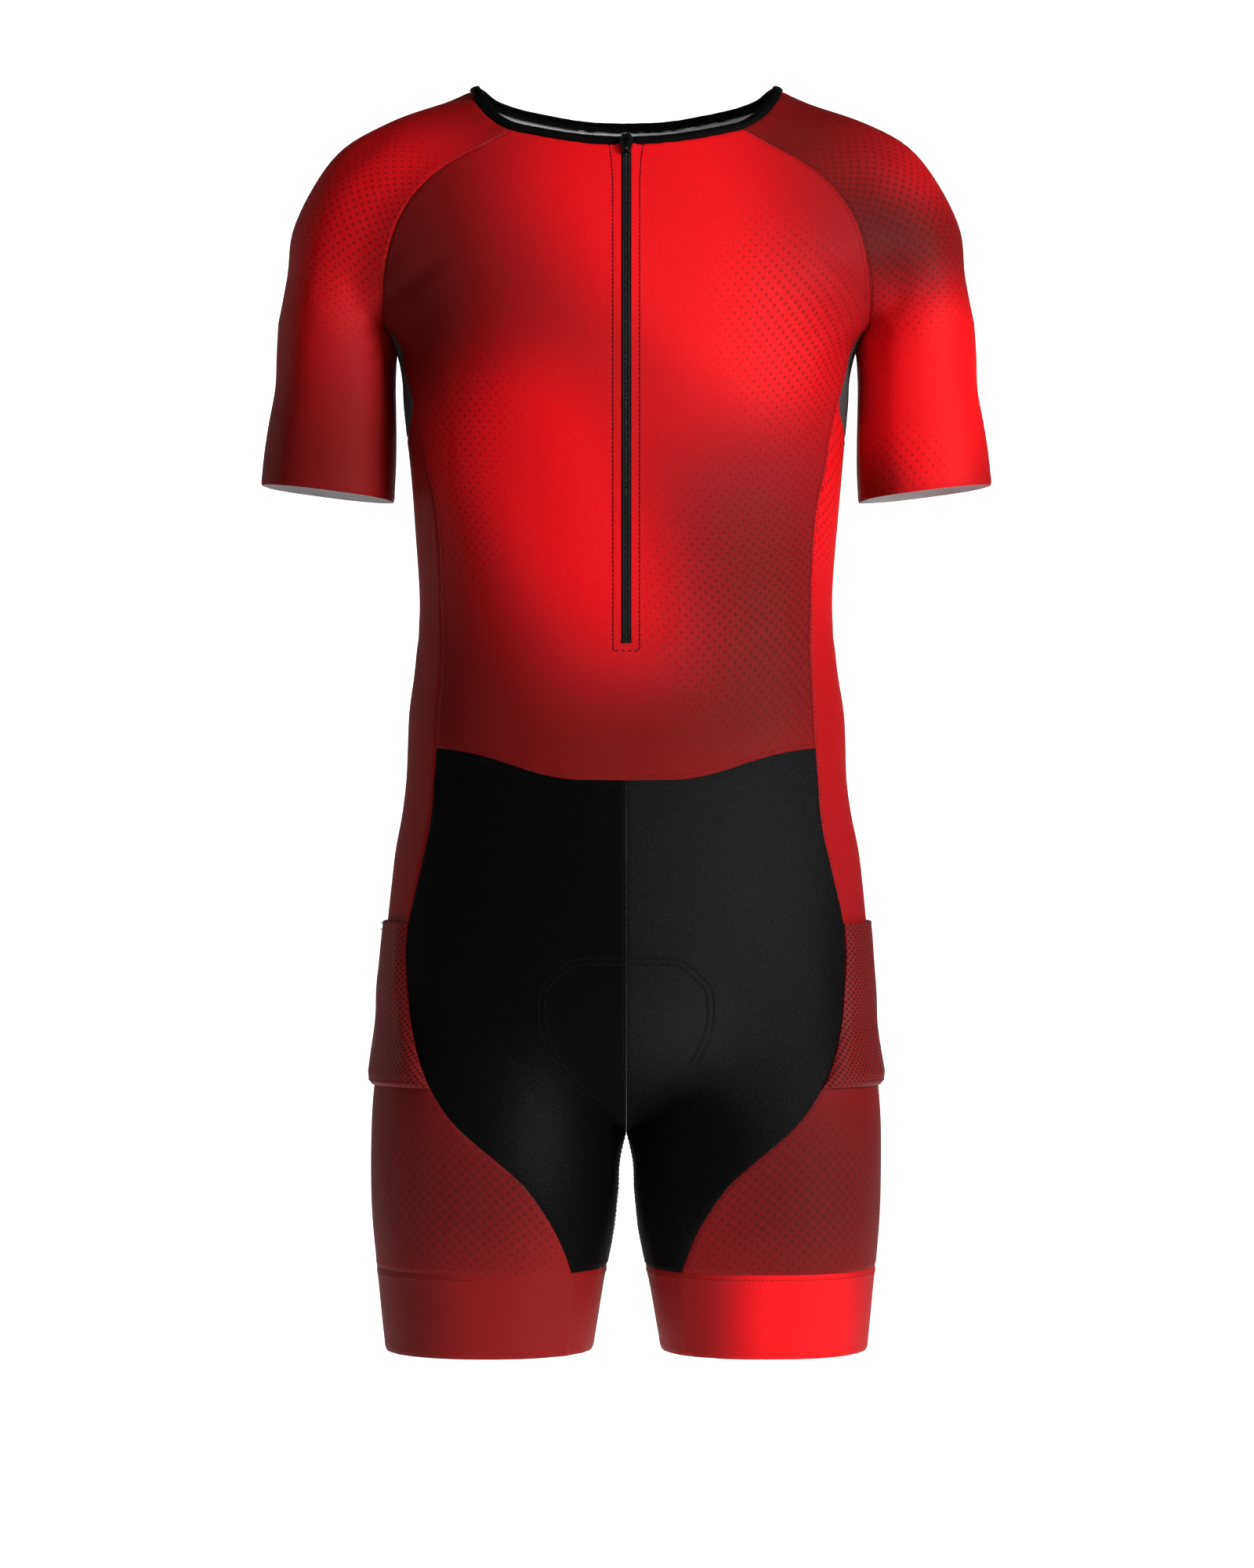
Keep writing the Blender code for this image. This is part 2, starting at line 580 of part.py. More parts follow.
def shorts_grid(seams, face, waist):
    """Half of the black front or seat, from its outer seam to the centre seam and inseam."""
    outer = seams["shorts_" + face]
    centre = seams["centre"] if face == "front" else seams["centre"][::-1]
    inner = np.vstack([centre[: CENTRE_CELLS + 1], seams["inseam"][1:]])
    sign = -1 if face == "front" else 1
    cells = len(waist) - 1
    rows = [waist]
    drop = waist[:, 2] - np.linspace(waist[0, 2], waist[-1, 2], cells + 1)
    for r in range(1, len(outer)):
        row = around(outer[r], inner[r], cells, sign)
        row[1:-1, 2] += drop[1:-1] * max(0.0, 1 - r / 6)
        row[1:-1] = onto_form(row[1:-1], body_form)
        rows.append(row)
    rows[-1][:, 2] = BAND_TOP
    rows[-1][1:-1] = onto_level(rows[-1][1:-1])
    return np.stack(rows)


def sleeve_mesh(seams):
    """Points and cells of the left sleeve: a cap over the shoulder, then a tube to the cuff."""
    half = SLEEVE_CELLS // 2
    hub = np.array(SHOULDER_HUB)
    turn = np.linspace(math.pi / 2, 0, 120)
    ray = np.stack([np.cos(turn), np.zeros_like(turn), np.sin(turn)], -1)
    crest = spaced(cast(hub + ray * 0.24, -ray, 0.24), RAGLAN_CELLS)
    rows = [seams["neck_sleeve"]]
    for r in range(1, RAGLAN_CELLS + 1):
        front = over_form(seams["raglan_front"][r], crest[r], half)
        back = over_form(crest[r], seams["raglan_back"][r], half)
        rows.append(np.vstack([front, back[1:]]))
    under = seams["armpit"][::-1][1:-1]
    ring = np.vstack([rows[-1], under])
    outer, inner = smooth_table(ARM_ROWS, ring[:, 2])[:, :2].T
    turn = np.arctan2(ring[:, 1], ring[:, 0] - (outer + inner) / 2)
    spread = np.linspace(0, 2 * math.pi, len(ring), endpoint=False)
    spread = np.unwrap(turn)[0] + spread
    cuff_turn = 0.7 * np.unwrap(turn) + 0.3 * spread
    tube = []
    for q in range(1, SLEEVE_LENGTH_CELLS + 1):
        t = q / SLEEVE_LENGTH_CELLS
        angle = np.unwrap(turn) * (1 - t) + cuff_turn * t
        height = ring[:, 2] * (1 - t) + t * CUFF_OUTER[1]
        for _ in range(3):
            outer, inner, front, back = smooth_table(ARM_ROWS, height).T
            x = (outer + inner) / 2 + (outer - inner) / 2 * np.cos(angle)
            y = np.where(np.sin(angle) < 0, front, back) * np.sin(angle)
            end = CUFF_OUTER[1] - CUFF_SLOPE * (CUFF_OUTER[0] - x)
            height = ring[:, 2] * (1 - t) + end * t
        tube.append(onto_level(np.stack([x, y, height], -1), arm_form))
    points = np.vstack([np.vstack(rows[:-1]), ring, np.vstack(tube)])
    wide = SLEEVE_CELLS + 1
    cells = []
    for r in range(RAGLAN_CELLS):
        for c in range(SLEEVE_CELLS):
            a = r * wide + c
            cells.append((a, a + 1, a + wide + 1, a + wide))
    first = RAGLAN_CELLS * wide
    count = len(ring)
    for q in range(SLEEVE_LENGTH_CELLS):
        for c in range(count):
            a = first + q * count + c
            b = first + q * count + (c + 1) % count
            cells.append((a, b, b + count, a + count))
    return points, cells


def grid_cells(rows, columns, skip=()):
    """Cells of a grid, each as four point numbers, without those whose (row, column) is skipped."""
    wide = columns + 1
    return [
        (r * wide + c, r * wide + c + 1, (r + 1) * wide + c + 1, (r + 1) * wide + c)
        for r in range(rows)
        for c in range(columns)
        if (r, c) not in skip
    ]


def form_normals(points):
    """Outward directions, evened out in the fold under each arm and along the crotch."""
    normals = unit(gradient(points))
    side, deep, height = np.abs(points[:, 0]), points[:, 1], points[:, 2]
    fold = (np.abs(side - FOLD_PLACE[0]) < FOLD_REACH[0]) & (np.abs(deep) < FOLD_REACH[1])
    fold &= np.abs(height - FOLD_PLACE[1]) < FOLD_REACH[2]
    tilt = np.clip(deep[fold] / 0.0375, -1, 1)
    normals[fold] = unit(np.stack([0 * tilt, 0.86 * tilt, -1 + 0.5 * tilt**2], -1))
    crotch = (side < CROTCH_REACH[0]) & (height < CROTCH_REACH[1])
    tilt = 10 * (deep[crotch] - CROTCH_DEPTH)
    normals[crotch] = unit(np.stack([0 * tilt, tilt, 0 * tilt - 1], -1))
    return normals


def edge_insets(points, cells, normals, inset):
    """Move the points of free edges into the piece, so that two pieces stand apart."""
    used = {}
    for cell in cells:
        for a, b in zip(cell, cell[1:] + cell[:1]):
            key = (min(a, b), max(a, b))
            used.setdefault(key, []).append((a, b, cell))
    pushes = {}
    for uses in used.values():
        if len(uses) > 1:
            continue
        a, b, cell = uses[0]
        middle = points[list(cell)].mean(axis=0)
        along = unit(points[b] - points[a])
        for v in (a, b):
            push = unit(np.cross(normals[v], along))
            if push @ (middle - points[v]) < 0:
                push = -push
            pushes.setdefault(v, []).append(push)
    moved = points.copy()
    for v, found in pushes.items():
        if len(found) == 1:
            total = found[0]
        else:
            total = (found[0] + found[1]) / max(1 + found[0] @ found[1], 0.35)
        moved[v] = points[v] + total * inset
    return moved, [uses[0][:2] for uses in used.values() if len(uses) == 1]


def facing_out(points, cells, normals):
    """The cells, turned over together if they face into the form."""
    corners = points[np.array(cells)]
    facing = np.cross(corners[:, 2] - corners[:, 0], corners[:, 3] - corners[:, 1])
    if (facing * normals[np.array(cells)[:, 0]]).sum() < 0:
        return [(a, d, c, b) for a, b, c, d in cells]
    return cells


def split_cells(points, cells):
    """Two triangles for each cell, along the diagonal that lies nearer the form."""
    corners = points[np.array(cells)]
    one = np.abs(form((corners[:, 0] + corners[:, 2]) / 2))
    other = np.abs(form((corners[:, 1] + corners[:, 3]) / 2))
    triangles = []
    for (a, b, c, d), first in zip(cells, one <= other):
        triangles += [(a, b, c), (a, c, d)] if first else [(a, b, d), (b, c, d)]
    return triangles


def split_rim(points, rim, count):
    """Two triangles for each stretch of the rim, cut the same way on both sides of a seam."""
    triangles = []
    for a, b in rim:
        a_in, b_in = a + count, b + count
        if tuple(points[a][[2, 1]].round(6)) < tuple(points[b][[2, 1]].round(6)):
            triangles += [(b, a, b_in), (a, a_in, b_in)]
        else:
            triangles += [(b, a, a_in), (b, a_in, b_in)]
    return triangles


def cloth(name, points, cells, wall, material, lift=0.0, inset=SEAM_GAP / 2):
    """A closed wall on the form: its outer side lifted from the form, its inner side a wall in."""
    points = np.asarray(points, dtype=float).reshape(-1, 3)
    used = sorted({v for cell in cells for v in cell})
    number = {v: i for i, v in enumerate(used)}
    lift = np.broadcast_to(np.reshape(lift, (-1, 1)), (len(points), 1))[used]
    points = points[used]
    normals = form_normals(points)
    cells = facing_out(points, [tuple(number[v] for v in cell) for cell in cells], normals)
    moved, rim = edge_insets(points, cells, normals, inset)
    outer = moved + normals * lift
    inner = outer - normals * wall
    bm = bmesh.new()
    verts = [bm.verts.new(p) for p in np.vstack([outer, inner])]
    count = len(outer)
    for tri in split_cells(points, cells):
        bm.faces.new([verts[v] for v in tri])
        bm.faces.new([verts[v + count] for v in reversed(tri)])
    for tri in split_rim(points, rim, count):
        bm.faces.new([verts[v] for v in tri])
    return finish(name, bm, material)


def finish(name, bm, material):
    """Turn a bmesh into a named object with its material, shaded smooth but for its rims."""
    mesh = bpy.data.meshes.new(name)
    bm.to_mesh(mesh)
    bm.free()
    mesh.shade_smooth()
    mesh.set_sharp_from_angle(angle=math.radians(40))
    mesh.materials.append(material)
    obj = bpy.data.objects.new(name, mesh)
    bpy.context.scene.collection.objects.link(obj)
    return obj


def finish_material(name, colour, roughness, metallic=0.0):
    material = bpy.data.materials.new(name)
    material.use_nodes = True
    shader = material.node_tree.nodes["Principled BSDF"]
    shader.inputs["Base Color"].default_value = colour
    shader.inputs["Roughness"].default_value = roughness
    shader.inputs["Metallic"].default_value = metallic
    return material


def red_cloth(name):
    return finish_material(name, RED, CLOTH_ROUGHNESS)


def deep_cloth(name):
    return finish_material(name, DEEP_RED, CLOTH_ROUGHNESS)


def black_cloth(name):
    return finish_material(name, BLACK, CLOTH_ROUGHNESS)


def black_metal(name):
    return finish_material(name, METAL_BLACK, 0.35, 0.6)


def both_sides(name, points, cells, wall, material, **extra):
    """The left piece and its mirror image on the right."""
    flat = np.asarray(points).reshape(-1, 3)
    cloth(name + "_left", flat, cells, wall, material(name + "_left"), **extra)
    cloth(name + "_right", mirrored(flat), cells, wall, material(name + "_right"), **extra)


def pocket(side, columns):
    """The mesh pocket on the side panel: made from the panel's own points, moved out."""
    top, low, _ = SHORTS_CELLS
    first = SIDE_CELLS + top
    rows = side[first : first + low + 1]
    down = np.linspace(0, 1, low + 1)[:, None]
    round_side = np.sin(np.pi * np.linspace(0, 1, columns + 1))[None, :]
    slack = POCKET_SLACK * round_side**0.6 * (1 - down**4)
    gape = POCKET_GAPE * round_side**2 * np.clip(1 - down * 4, 0, 1)
    return rows, grid_cells(low, columns), MESH_WALL + POCKET_CLEARANCE + slack + gape


def leg_ring(front, side, seat):
    """Closed ring of points round the leg at the seam above the grip band."""
    return np.vstack([side[-1], seat[-1][1:], front[-1][::-1][1:-1]])


def band_mesh(ring):
    """The grip band: level rows from the seam to the hem."""
    rows = [ring]
    for r in range(1, BAND_CELLS + 1):
        row = ring.copy()
        row[:, 2] = BAND_TOP + (HEM_HEIGHT - BAND_TOP) * r / BAND_CELLS
        rows.append(onto_level(row))
    count = len(ring)
    cells = [
        (r * count + c, r * count + (c + 1) % count,
         (r + 1) * count + (c + 1) % count, (r + 1) * count + c)
        for r in range(BAND_CELLS)
        for c in range(count)
    ]
    return np.vstack(rows), cells


def binding_mesh(front_top, sleeve_top, back_top):
    """The neck binding: the neck edge of every panel, then a strip towards the neck."""
    slot = HALF_FRONT_CELLS
    left = front_top[slot + 1 :]
    edge = np.vstack([left, sleeve_top[1:], back_top[::-1][1:], mirrored(sleeve_top)[::-1][1:],
                      front_top[: slot + 1][1:]])
    normals = unit(gradient(edge))
    along = np.gradient(edge, axis=0)
    along[0], along[-1] = edge[1] - edge[0], edge[-1] - edge[-2]
    inward = unit(np.cross(along, normals))
    flip = np.sign(((np.array(BINDING_HUB) - edge) * inward).sum(axis=1))[:, None]
    inward = inward * flip
    rows = [edge]
    for share in (0.5, 1.0):
        rows.append(onto_form(edge + inward * BINDING_WIDTH * share))
    columns = len(edge) - 1
    lift = np.repeat(BINDING_LIFTS, columns + 1)
    return np.vstack(rows), grid_cells(2, columns), lift


def zip_rows(heights, top_extra):
    """Drawn heights of the rows that the tapes and the coil share with the front's slot."""
    return np.concatenate([[heights[0] + top_extra], heights])


def strip(name, low, high, heights, wall, lift, material):
    """A narrow strip down the front between two side distances."""
    drawn = np.array([[(low, h), (high, h)] for h in heights])
    cloth(name, seen(drawn), grid_cells(len(heights) - 1, 1), wall, material, lift=lift, inset=0.0)


def slider_frame():
    """Place and directions of the slider on the front: its foot, outward and upward."""
    place = seen([(0.0, SLIDER_CENTRE)])[0]
    outward = unit(gradient(place[None]))[0]
    outward[0] = 0.0
    outward = unit(outward)
    upward = np.array([0.0, -outward[2], outward[1]])
    if upward[2] < 0:
        upward = -upward
    return place, outward, upward


def prism(outline, low, high, place):
    """A bmesh from an outline in two directions, drawn out in a third."""
    bm = bmesh.new()
    ends = [[bm.verts.new(place(u, v, w)) for u, v in outline] for w in (low, high)]
    bm.faces.new(ends[0])
    bm.faces.new(ends[1])
    count = len(outline)
    for i in range(count):
        j = (i + 1) % count
        bm.faces.new([ends[0][i], ends[0][j], ends[1][j], ends[1][i]])
    bmesh.ops.recalc_face_normals(bm, faces=bm.faces)
    return bm


def zip_slider(material):
    """The slider's shield-shaped body with its bail."""
    foot, outward, upward = slider_frame()
    width, length, thick = SLIDER_SIZE

    def spot(x, up, out):
        return Vector((x, 0, 0)) + Vector(foot + upward * up + outward * (SLIDER_LIFT + out))

    half, low = width / 2, SLIDER_FOOT_WIDTH / 2
    outline = [
        (-half * 0.55, length / 2), (half * 0.55, length / 2), (half, length * 0.30),
        (half * 0.94, 0.0), (low, -length * 0.36), (low * 0.6, -length / 2),
        (-low * 0.6, -length / 2), (-low, -length * 0.36), (-half * 0.94, 0.0),
        (-half, length * 0.30),
    ]
    body = finish("zip_slider", prism(outline, 0.0, thick, spot), material)
    bar = BAIL_BAR / 2
    arch = [
        (-BAIL_HALF_WIDTH, -0.0006), (-BAIL_HALF_WIDTH, BAIL_HEIGHT + bar),
        (BAIL_HALF_WIDTH, BAIL_HEIGHT + bar), (BAIL_HALF_WIDTH, -0.0006),
        (BAIL_HALF_WIDTH - BAIL_POST, -0.0006), (BAIL_HALF_WIDTH - BAIL_POST, BAIL_HEIGHT - bar),
        (BAIL_POST - BAIL_HALF_WIDTH, BAIL_HEIGHT - bar), (BAIL_POST - BAIL_HALF_WIDTH, -0.0006),
    ]

    def bail_spot(x, out, up):
        return spot(x, BAIL_PLACE + up, thick + out)

    bail = finish("bail_shape", prism(arch, -bar, bar, bail_spot), material)
    bail.hide_render = True
    bail.display_type = "WIRE"
    join = body.modifiers.new("bail", "BOOLEAN")
    join.operation = "UNION"
    join.object = bail
    return body


def pull_tab(material):
    """The pull tab hangs on the bail's bar and lies along the slider. Its origin is the bar."""
    foot, outward, upward = slider_frame()
    out = SLIDER_LIFT + SLIDER_SIZE[2] + BAIL_HEIGHT
    pin = Vector(foot + upward * BAIL_PLACE + outward * out)
    up, front = Vector(upward), Vector(outward)
    turns = [math.radians(a) for a in (20, 55, 90, 125, 160, 200, 235, 270, 305, 340)]
    bm = bmesh.new()
    ring = {}
    for side in (-1, 1):
        for radius in TAB_EYE:
            ring[side, radius] = [
                bm.verts.new(
                    Vector((side * TAB_HALF_WIDTH, 0, 0))
                    - up * radius * math.cos(t) + front * radius * math.sin(t)
                )
                for t in turns
            ]
    outer, inner = TAB_EYE
    count = len(turns)
    for i in range(count):
        j = (i + 1) % count
        for side in (-1, 1):
            a, b = ring[side, outer], ring[side, inner]
            bm.faces.new([a[i], a[j], b[j], b[i]])
        bm.faces.new([ring[-1, inner][i], ring[1, inner][i], ring[1, inner][j], ring[-1, inner][j]])
        if i != count - 1:
            a, b = ring[-1, outer], ring[1, outer]
            bm.faces.new([a[i], b[i], b[j], a[j]])
    thick = outer * math.sin(turns[0])
    loops = []
    for reach, share in ((TAB_LENGTH * 0.86, 1.0), (TAB_LENGTH, 0.55)):
        loops.append([
            bm.verts.new(Vector((x * TAB_HALF_WIDTH * share, 0, 0)) - up * reach
                         + front * y * thick * share)
            for x, y in ((-1, 1), (1, 1), (1, -1), (-1, -1))
        ])
    start = [ring[-1, outer][0], ring[1, outer][0], ring[1, outer][-1], ring[-1, outer][-1]]
    for a, b in zip([start] + loops, loops):
        for i in range(4):
            j = (i + 1) % 4
            bm.faces.new([a[i], a[j], b[j], b[i]])
    bm.faces.new(loops[-1])
    bmesh.ops.recalc_face_normals(bm, faces=bm.faces)
    tab = finish("zip_pull_tab", bm, material)
    tab.location = pin
    return tab


def build():
    clear_scene()
    seams = shared_seams()
    front, slot_row, centre_heights = front_grid(seams)
    back = back_grid(seams)
    gusset = gusset_grid(seams)
    side = side_grid(seams, gusset)
    columns = front.shape[1] - 1
    middle = HALF_FRONT_CELLS
    waist_middle = seams["centre"][0]
    half_waist = np.vstack([front[-1, middle + 1 :][::-1], waist_middle])
    black_front = shorts_grid(seams, "front", half_waist)
    half_back = back[-1, BACK_CELLS // 2 :][::-1].copy()
    half_back[-1] = seams["centre"][-1]
    seat = shorts_grid(seams, "back", half_back)

    slot = {(r, middle) for r in range(slot_row)}
    front_cells = grid_cells(len(front) - 1, columns, slot)
    cloth("front_panel", front, front_cells, CLOTH_WALL, red_cloth("front_panel"))
    back_cells = grid_cells(len(back) - 1, BACK_CELLS)
    cloth("back_panel", back, back_cells, CLOTH_WALL, red_cloth("back_panel"))

    sleeve_points, sleeve_cells = sleeve_mesh(seams)
    both_sides("sleeve", sleeve_points, sleeve_cells, CLOTH_WALL, red_cloth)
    across = SIDE_PANEL_CELLS
    both_sides("underarm_mesh", gusset, grid_cells(GUSSET_CELLS, across), CLOTH_WALL, black_cloth,
               inset=GUSSET_INSET)
    both_sides("side_panel", side, grid_cells(len(side) - 1, across), CLOTH_WALL, deep_cloth)
    half = len(half_waist) - 1
    rows = len(black_front) - 1
    both_sides("shorts_front", black_front, grid_cells(rows, half), CLOTH_WALL, black_cloth)
    both_sides("shorts_seat", seat, grid_cells(rows, len(half_back) - 1), CLOTH_WALL, black_cloth)
    ring, ring_cells = band_mesh(leg_ring(black_front, side, seat))
    both_sides("leg_band", ring, ring_cells, BAND_WALL, red_cloth)
    points, cells, lift = pocket(side, across)
    both_sides("pocket", points, cells, MESH_WALL, deep_cloth, lift=lift.reshape(-1),
               inset=POCKET_INSET)

    points, cells, lift = binding_mesh(front[0], seams["neck_sleeve"], back[0])
    cloth("neck_binding", points, cells, BINDING_WALL, black_cloth("neck_binding"), lift=lift)
    heights = zip_rows(centre_heights[: slot_row + 1], BINDING_WIDTH * 0.7)
    heights[-1] += 0.0004
    edge, slit = ZIP_HALF_GAP - SEAM_GAP, TAPE_HALF_GAP
    for name, low, high in (("zip_tape_right", -edge, -slit), ("zip_tape_left", slit, edge)):
        strip(name, low, high, heights, TAPE_WALL, -TAPE_SINK, black_cloth(name))
    coil_top = SLIDER_CENTRE - SLIDER_SIZE[1] / 2 - 0.0006
    coil = np.concatenate([[coil_top], heights[heights < coil_top - 0.004][:-1], [ZIP_END + 0.004]])
    strip("zip_coil", -COIL_HALF_WIDTH, COIL_HALF_WIDTH, coil, COIL_HEIGHT, COIL_HEIGHT,
          black_cloth("zip_coil"))
    stop = ZIP_END + np.array(STOP_ENDS)
    strip("zip_stop", -STOP_HALF_WIDTH, STOP_HALF_WIDTH, stop, STOP_HEIGHT, STOP_HEIGHT,
          black_metal("zip_stop"))
    zip_slider(black_metal("zip_slider"))
    pull_tab(finish_material("zip_pull_tab", STEEL, 0.3, 0.9))


build()
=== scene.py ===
# %% [markdown]
# One-piece cycling suit
#
# A short-sleeve, short-leg race suit in its worn shape, with no wearer. The solids of the packed
# model carry its cut. This lesson lays finer cloth over them: each panel is drafted again from the
# same seams, made smooth, given its wall, its creases and its finish, and sewn with real stitches.

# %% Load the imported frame
import math

import bmesh
import bpy
import numpy as np
from mathutils import Matrix, Vector


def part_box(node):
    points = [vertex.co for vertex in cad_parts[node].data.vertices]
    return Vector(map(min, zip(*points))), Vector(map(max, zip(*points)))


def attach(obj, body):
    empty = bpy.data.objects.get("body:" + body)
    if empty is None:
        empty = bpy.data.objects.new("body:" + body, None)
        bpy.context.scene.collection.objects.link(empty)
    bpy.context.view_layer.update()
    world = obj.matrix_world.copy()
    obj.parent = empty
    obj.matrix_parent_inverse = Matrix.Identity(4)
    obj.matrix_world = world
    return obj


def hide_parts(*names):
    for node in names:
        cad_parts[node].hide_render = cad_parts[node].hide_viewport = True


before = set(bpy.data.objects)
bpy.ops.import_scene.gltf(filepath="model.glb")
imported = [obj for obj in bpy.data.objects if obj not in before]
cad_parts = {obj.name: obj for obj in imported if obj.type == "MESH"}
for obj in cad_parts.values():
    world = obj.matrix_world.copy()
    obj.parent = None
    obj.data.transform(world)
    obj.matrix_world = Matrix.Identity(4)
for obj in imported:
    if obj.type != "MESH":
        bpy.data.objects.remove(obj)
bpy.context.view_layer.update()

TURN = 2 * math.pi         # a full turn in radians

# %% [markdown]
# Shader maths
#
# A finish is easier to read as an expression than as a drawing of nodes. The class below wraps one
# socket of a material. Adding or multiplying two of them adds a Math node, and every other node
# comes from one method that takes its type, its settings and its sockets.

# %% A socket that can be calculated with
class Value:
    """One output of a node, with the operators that a finish needs."""

    def __init__(self, tree, socket):
        self.tree = tree
        self.socket = socket

    def node(self, kind, settings=(), output=0, **sockets):
        """Add a node, set it up, fill its sockets and return one of its outputs."""
        made = self.tree.nodes.new("ShaderNode" + kind)
        for name, value in dict(settings).items():
            setattr(made, name, value)
        for name, value in sockets.items():
            key = int(name[1:]) if name[0] == "_" else name.replace("_", " ")
            if isinstance(value, Value):
                self.tree.links.new(value.socket, made.inputs[key])
            else:
                made.inputs[key].default_value = value
        return Value(self.tree, made.outputs[output])

    def math(self, operation, other=0.0, third=0.0):
        return self.node("Math", {"operation": operation}, _0=self, _1=other, _2=third)

    def __add__(self, other):
        return self.math("ADD", other)

    def __sub__(self, other):
        return self.math("SUBTRACT", other)

    def __rsub__(self, other):
        return self.node("Math", {"operation": "SUBTRACT"}, _0=other, _1=self)

    def __mul__(self, other):
        return self.math("MULTIPLY", other)

    __radd__ = __add__
    __rmul__ = __mul__

    def sin(self):
        return self.math("SINE")

    def power(self, exponent):
        return self.math("POWER", exponent)

    def ramp(self, low, high):
        """0 below low, 1 above high and smooth in between."""
        return self.node("MapRange", {"interpolation_type": "SMOOTHSTEP"}, Value=self,
                         From_Min=low, From_Max=high)

    def mix(self, first, second):
        """Colour: first where this value is 0, second where it is 1."""
        return self.node("Mix", {"data_type": "RGBA"}, output=2, _0=self, _6=first, _7=second)


def finish(name, roughness, metallic=0.0, specular=0.5, sheen=0.0, coat=0.0):
    """A new material, its shader, and two starting values: the place on the suit and on the cut."""
    material = bpy.data.materials.new(name)
    material.use_nodes = True
    tree = material.node_tree
    shader = tree.nodes["Principled BSDF"]
    shader.inputs["Roughness"].default_value = roughness
    shader.inputs["Metallic"].default_value = metallic
    shader.inputs["Specular IOR Level"].default_value = specular
    shader.inputs["Sheen Weight"].default_value = sheen
    shader.inputs["Coat Weight"].default_value = coat
    where = tree.nodes.new("ShaderNodeTexCoord")
    place = Value(tree, where.outputs["Object"])
    flat = Value(tree, where.outputs["UV"])
    return material, shader, place, flat


def parts(vector):
    """The three numbers of a vector."""
    return [vector.node("SeparateXYZ", output=i, Vector=vector) for i in range(3)]


def paint(shader, colour):
    """Give the surface a colour that is calculated."""
    colour.tree.links.new(colour.socket, shader.inputs["Base Color"])


def emboss(shader, height, distance, strength=1.0):
    """Let a height in the surface turn its normal."""
    bump = height.node("Bump", Height=height, Distance=distance, Strength=strength)
    height.tree.links.new(bump.socket, shader.inputs["Normal"])


print("shader helpers ready")

# %% [markdown]
# The figure
#
# A worn suit takes its shape from a body. A sewing pattern needs only that body's surface, so it is
# kept as a signed distance: level sections of trunk, legs and arms, each a rounded oval, blended
# where they meet. The tables are those of the part's source, so cloth and solids agree.

# %% Sections of the figure
FORM_ROUNDNESS = 2.3       # exponent of the rounded sections, 2 is an ellipse

# each row is a level section: height, outer side, inner side, front, back
TRUNK_ROWS = (
    (0.020, 0.0700, -0.0700, 0.0300, 0.0380),
    (0.000, 0.1150, -0.1150, 0.0400, 0.0500),
    (-0.010, 0.1370, -0.1370, 0.0460, 0.0580),
    (-0.020, 0.1650, -0.1650, 0.0530, 0.0660),
    (-0.033, 0.1940, -0.1940, 0.0620, 0.0750),
    (-0.047, 0.2110, -0.2110, 0.0710, 0.0840),
    (-0.064, 0.2230, -0.2230, 0.0810, 0.0920),
    (-0.098, 0.2350, -0.2350, 0.0980, 0.1040),
    (-0.118, 0.2310, -0.2310, 0.1065, 0.1090),
    (-0.135, 0.2160, -0.2160, 0.1110, 0.1120),
    (-0.152, 0.1960, -0.1960, 0.1150, 0.1140),
    (-0.168, 0.1800, -0.1800, 0.1180, 0.1150),
    (-0.180, 0.1705, -0.1705, 0.1195, 0.1155),
    (-0.192, 0.1655, -0.1655, 0.1205, 0.1155),
    (-0.205, 0.1632, -0.1632, 0.1212, 0.1152),
    (-0.225, 0.1620, -0.1620, 0.1215, 0.1145),
    (-0.252, 0.1590, -0.1590, 0.1205, 0.1120),
    (-0.303, 0.1550, -0.1550, 0.1150, 0.1030),
    (-0.372, 0.1500, -0.1500, 0.1075, 0.0880),
    (-0.423, 0.1540, -0.1540, 0.1060, 0.0870),
    (-0.457, 0.1585, -0.1585, 0.1070, 0.0920),
    (-0.508, 0.1607, -0.1607, 0.1100, 0.1050),
    (-0.560, 0.1693, -0.1693, 0.1120, 0.1190),
    (-0.610, 0.1745, -0.1745, 0.1110, 0.1260),
    (-0.660, 0.1785, -0.1785, 0.1050, 0.1230),
    (-0.695, 0.1790, -0.1790, 0.0920, 0.1080),
    (-0.718, 0.1660, -0.1660, 0.0750, 0.0880),
    (-0.735, 0.1400, -0.1400, 0.0520, 0.0620),
    (-0.744, 0.1000, -0.1000, 0.0300, 0.0360),
    (-0.749, 0.0500, -0.0500, 0.0080, 0.0100),
)
LEG_ROWS = (
    (-0.660, 0.1680, 0.0120, 0.0850, 0.0950),
    (-0.700, 0.1790, 0.0080, 0.0920, 0.0990),
    (-0.730, 0.1840, 0.0055, 0.0935, 0.0975),
    (-0.765, 0.1853, 0.0048, 0.0915, 0.0950),
    (-0.800, 0.1847, 0.0066, 0.0880, 0.0920),
    (-0.833, 0.1830, 0.0103, 0.0845, 0.0885),
    (-0.867, 0.1796, 0.0171, 0.0805, 0.0850),
    (-0.902, 0.1756, 0.0234, 0.0770, 0.0815),
    (-0.930, 0.1725, 0.0290, 0.0750, 0.0795),
)
